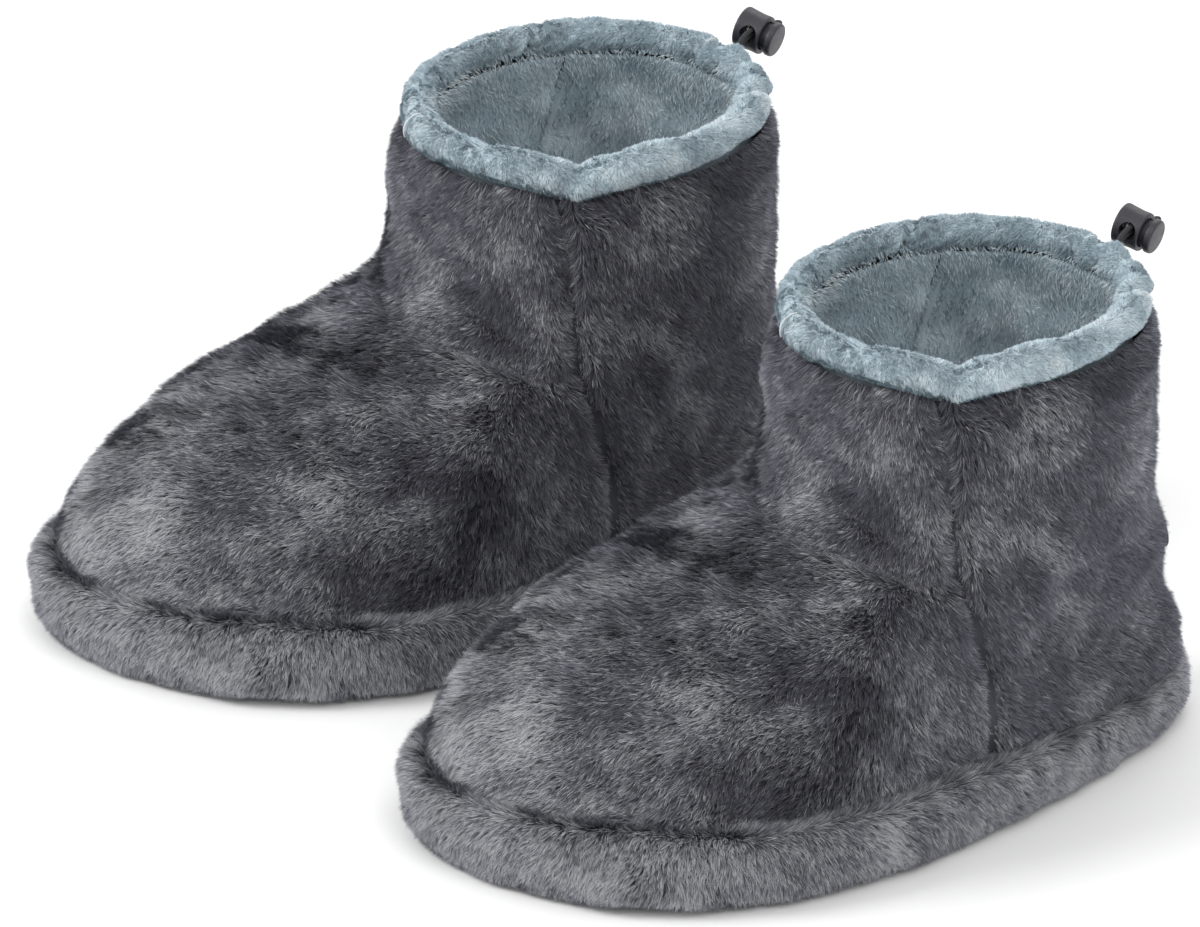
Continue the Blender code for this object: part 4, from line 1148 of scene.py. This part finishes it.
def thread_piece():
    """Loose white stitches left where the collar's cloth is caught together."""
    runs = []
    middle = np.array([-OUTLINE_MIDDLE[0], SHAFT_BACK - OUTLINE_MIDDLE[1], COLLAR_HEIGHT])
    for degrees, angles in ((351, (1.3, 3.1)), (193, (2.6, 3.5)), (158, (1.9, 2.9))):
        path = []
        for angle, drift in zip(np.linspace(*angles, 12), np.linspace(-0.5, 0.7, 12)):
            turns = np.radians([degrees + drift, degrees + drift + 1])
            place = collar_grid(turns, np.array([angle, angle + 0.1]))[0, 0]
            path.append(place + unit(place - middle) * 0.0007)
        runs.append(path)
    mesh = tube_piece("collar_stitches", runs, 0.00017, thread)
    place_pair(mesh, "collar_stitches", None)


upper_pieces()
band_piece()
collar_piece()
lining_pieces()
insole_piece()
outsole_piece()
cord_piece(lock_pieces())
thread_piece()


# Studio
def add_stage():
    half = 4.0
    mesh = bpy.data.meshes.new("studio_floor")
    corners = [(-half, -half), (half, -half), (half, half), (-half, half)]
    mesh.from_pydata([(x, y, -0.0002) for x, y in corners], [], [(0, 1, 2, 3)])
    material, tree, shader = new_material("studio_white", 0.9, Specular_IOR_Level=0.1)
    soft = use_group(tree, GRAIN, {
        "Scale": 3, "Detail": 3, "Stretch": (1, 1, 1), "Dark": (0.95, 0.95, 0.95, 1),
        "Light": (0.97, 0.97, 0.97, 1), "Depth": 0,
    })
    tree.links.new(soft["Color"], shader.inputs["Base Color"])
    mesh.materials.append(material)
    floor = bpy.data.objects.new("studio_floor", mesh)
    scene.collection.objects.link(floor)


def add_light(name, place, aim, size, power, colour=(1, 1, 1)):
    data = bpy.data.lights.new(name, "AREA")
    data.shape = "DISK"
    data.size = size
    data.energy = power
    data.color = colour
    light = bpy.data.objects.new(name, data)
    light.location = place
    light.rotation_euler = (Vector(aim) - Vector(place)).to_track_quat("-Z", "Y").to_euler()
    scene.collection.objects.link(light)


add_stage()
world = bpy.data.worlds.new("studio")
world.use_nodes = True
world.node_tree.nodes["Background"].inputs["Color"].default_value = (1, 1, 1, 1)
world.node_tree.nodes["Background"].inputs["Strength"].default_value = 0.86
scene.world = world
add_light("key", (-0.6, -1.9, 1.9), (0, 0, 0.08), 1.2, 34)
add_light("fill", (1.5, -0.1, 2.2), (0, 0, 0.08), 1.8, 15)
add_light("back", (-1.4, 1.2, 1.6), (0, 0, 0.1), 1.4, 7)
scene.view_settings.view_transform = "Standard"

bpy.context.view_layer.update()
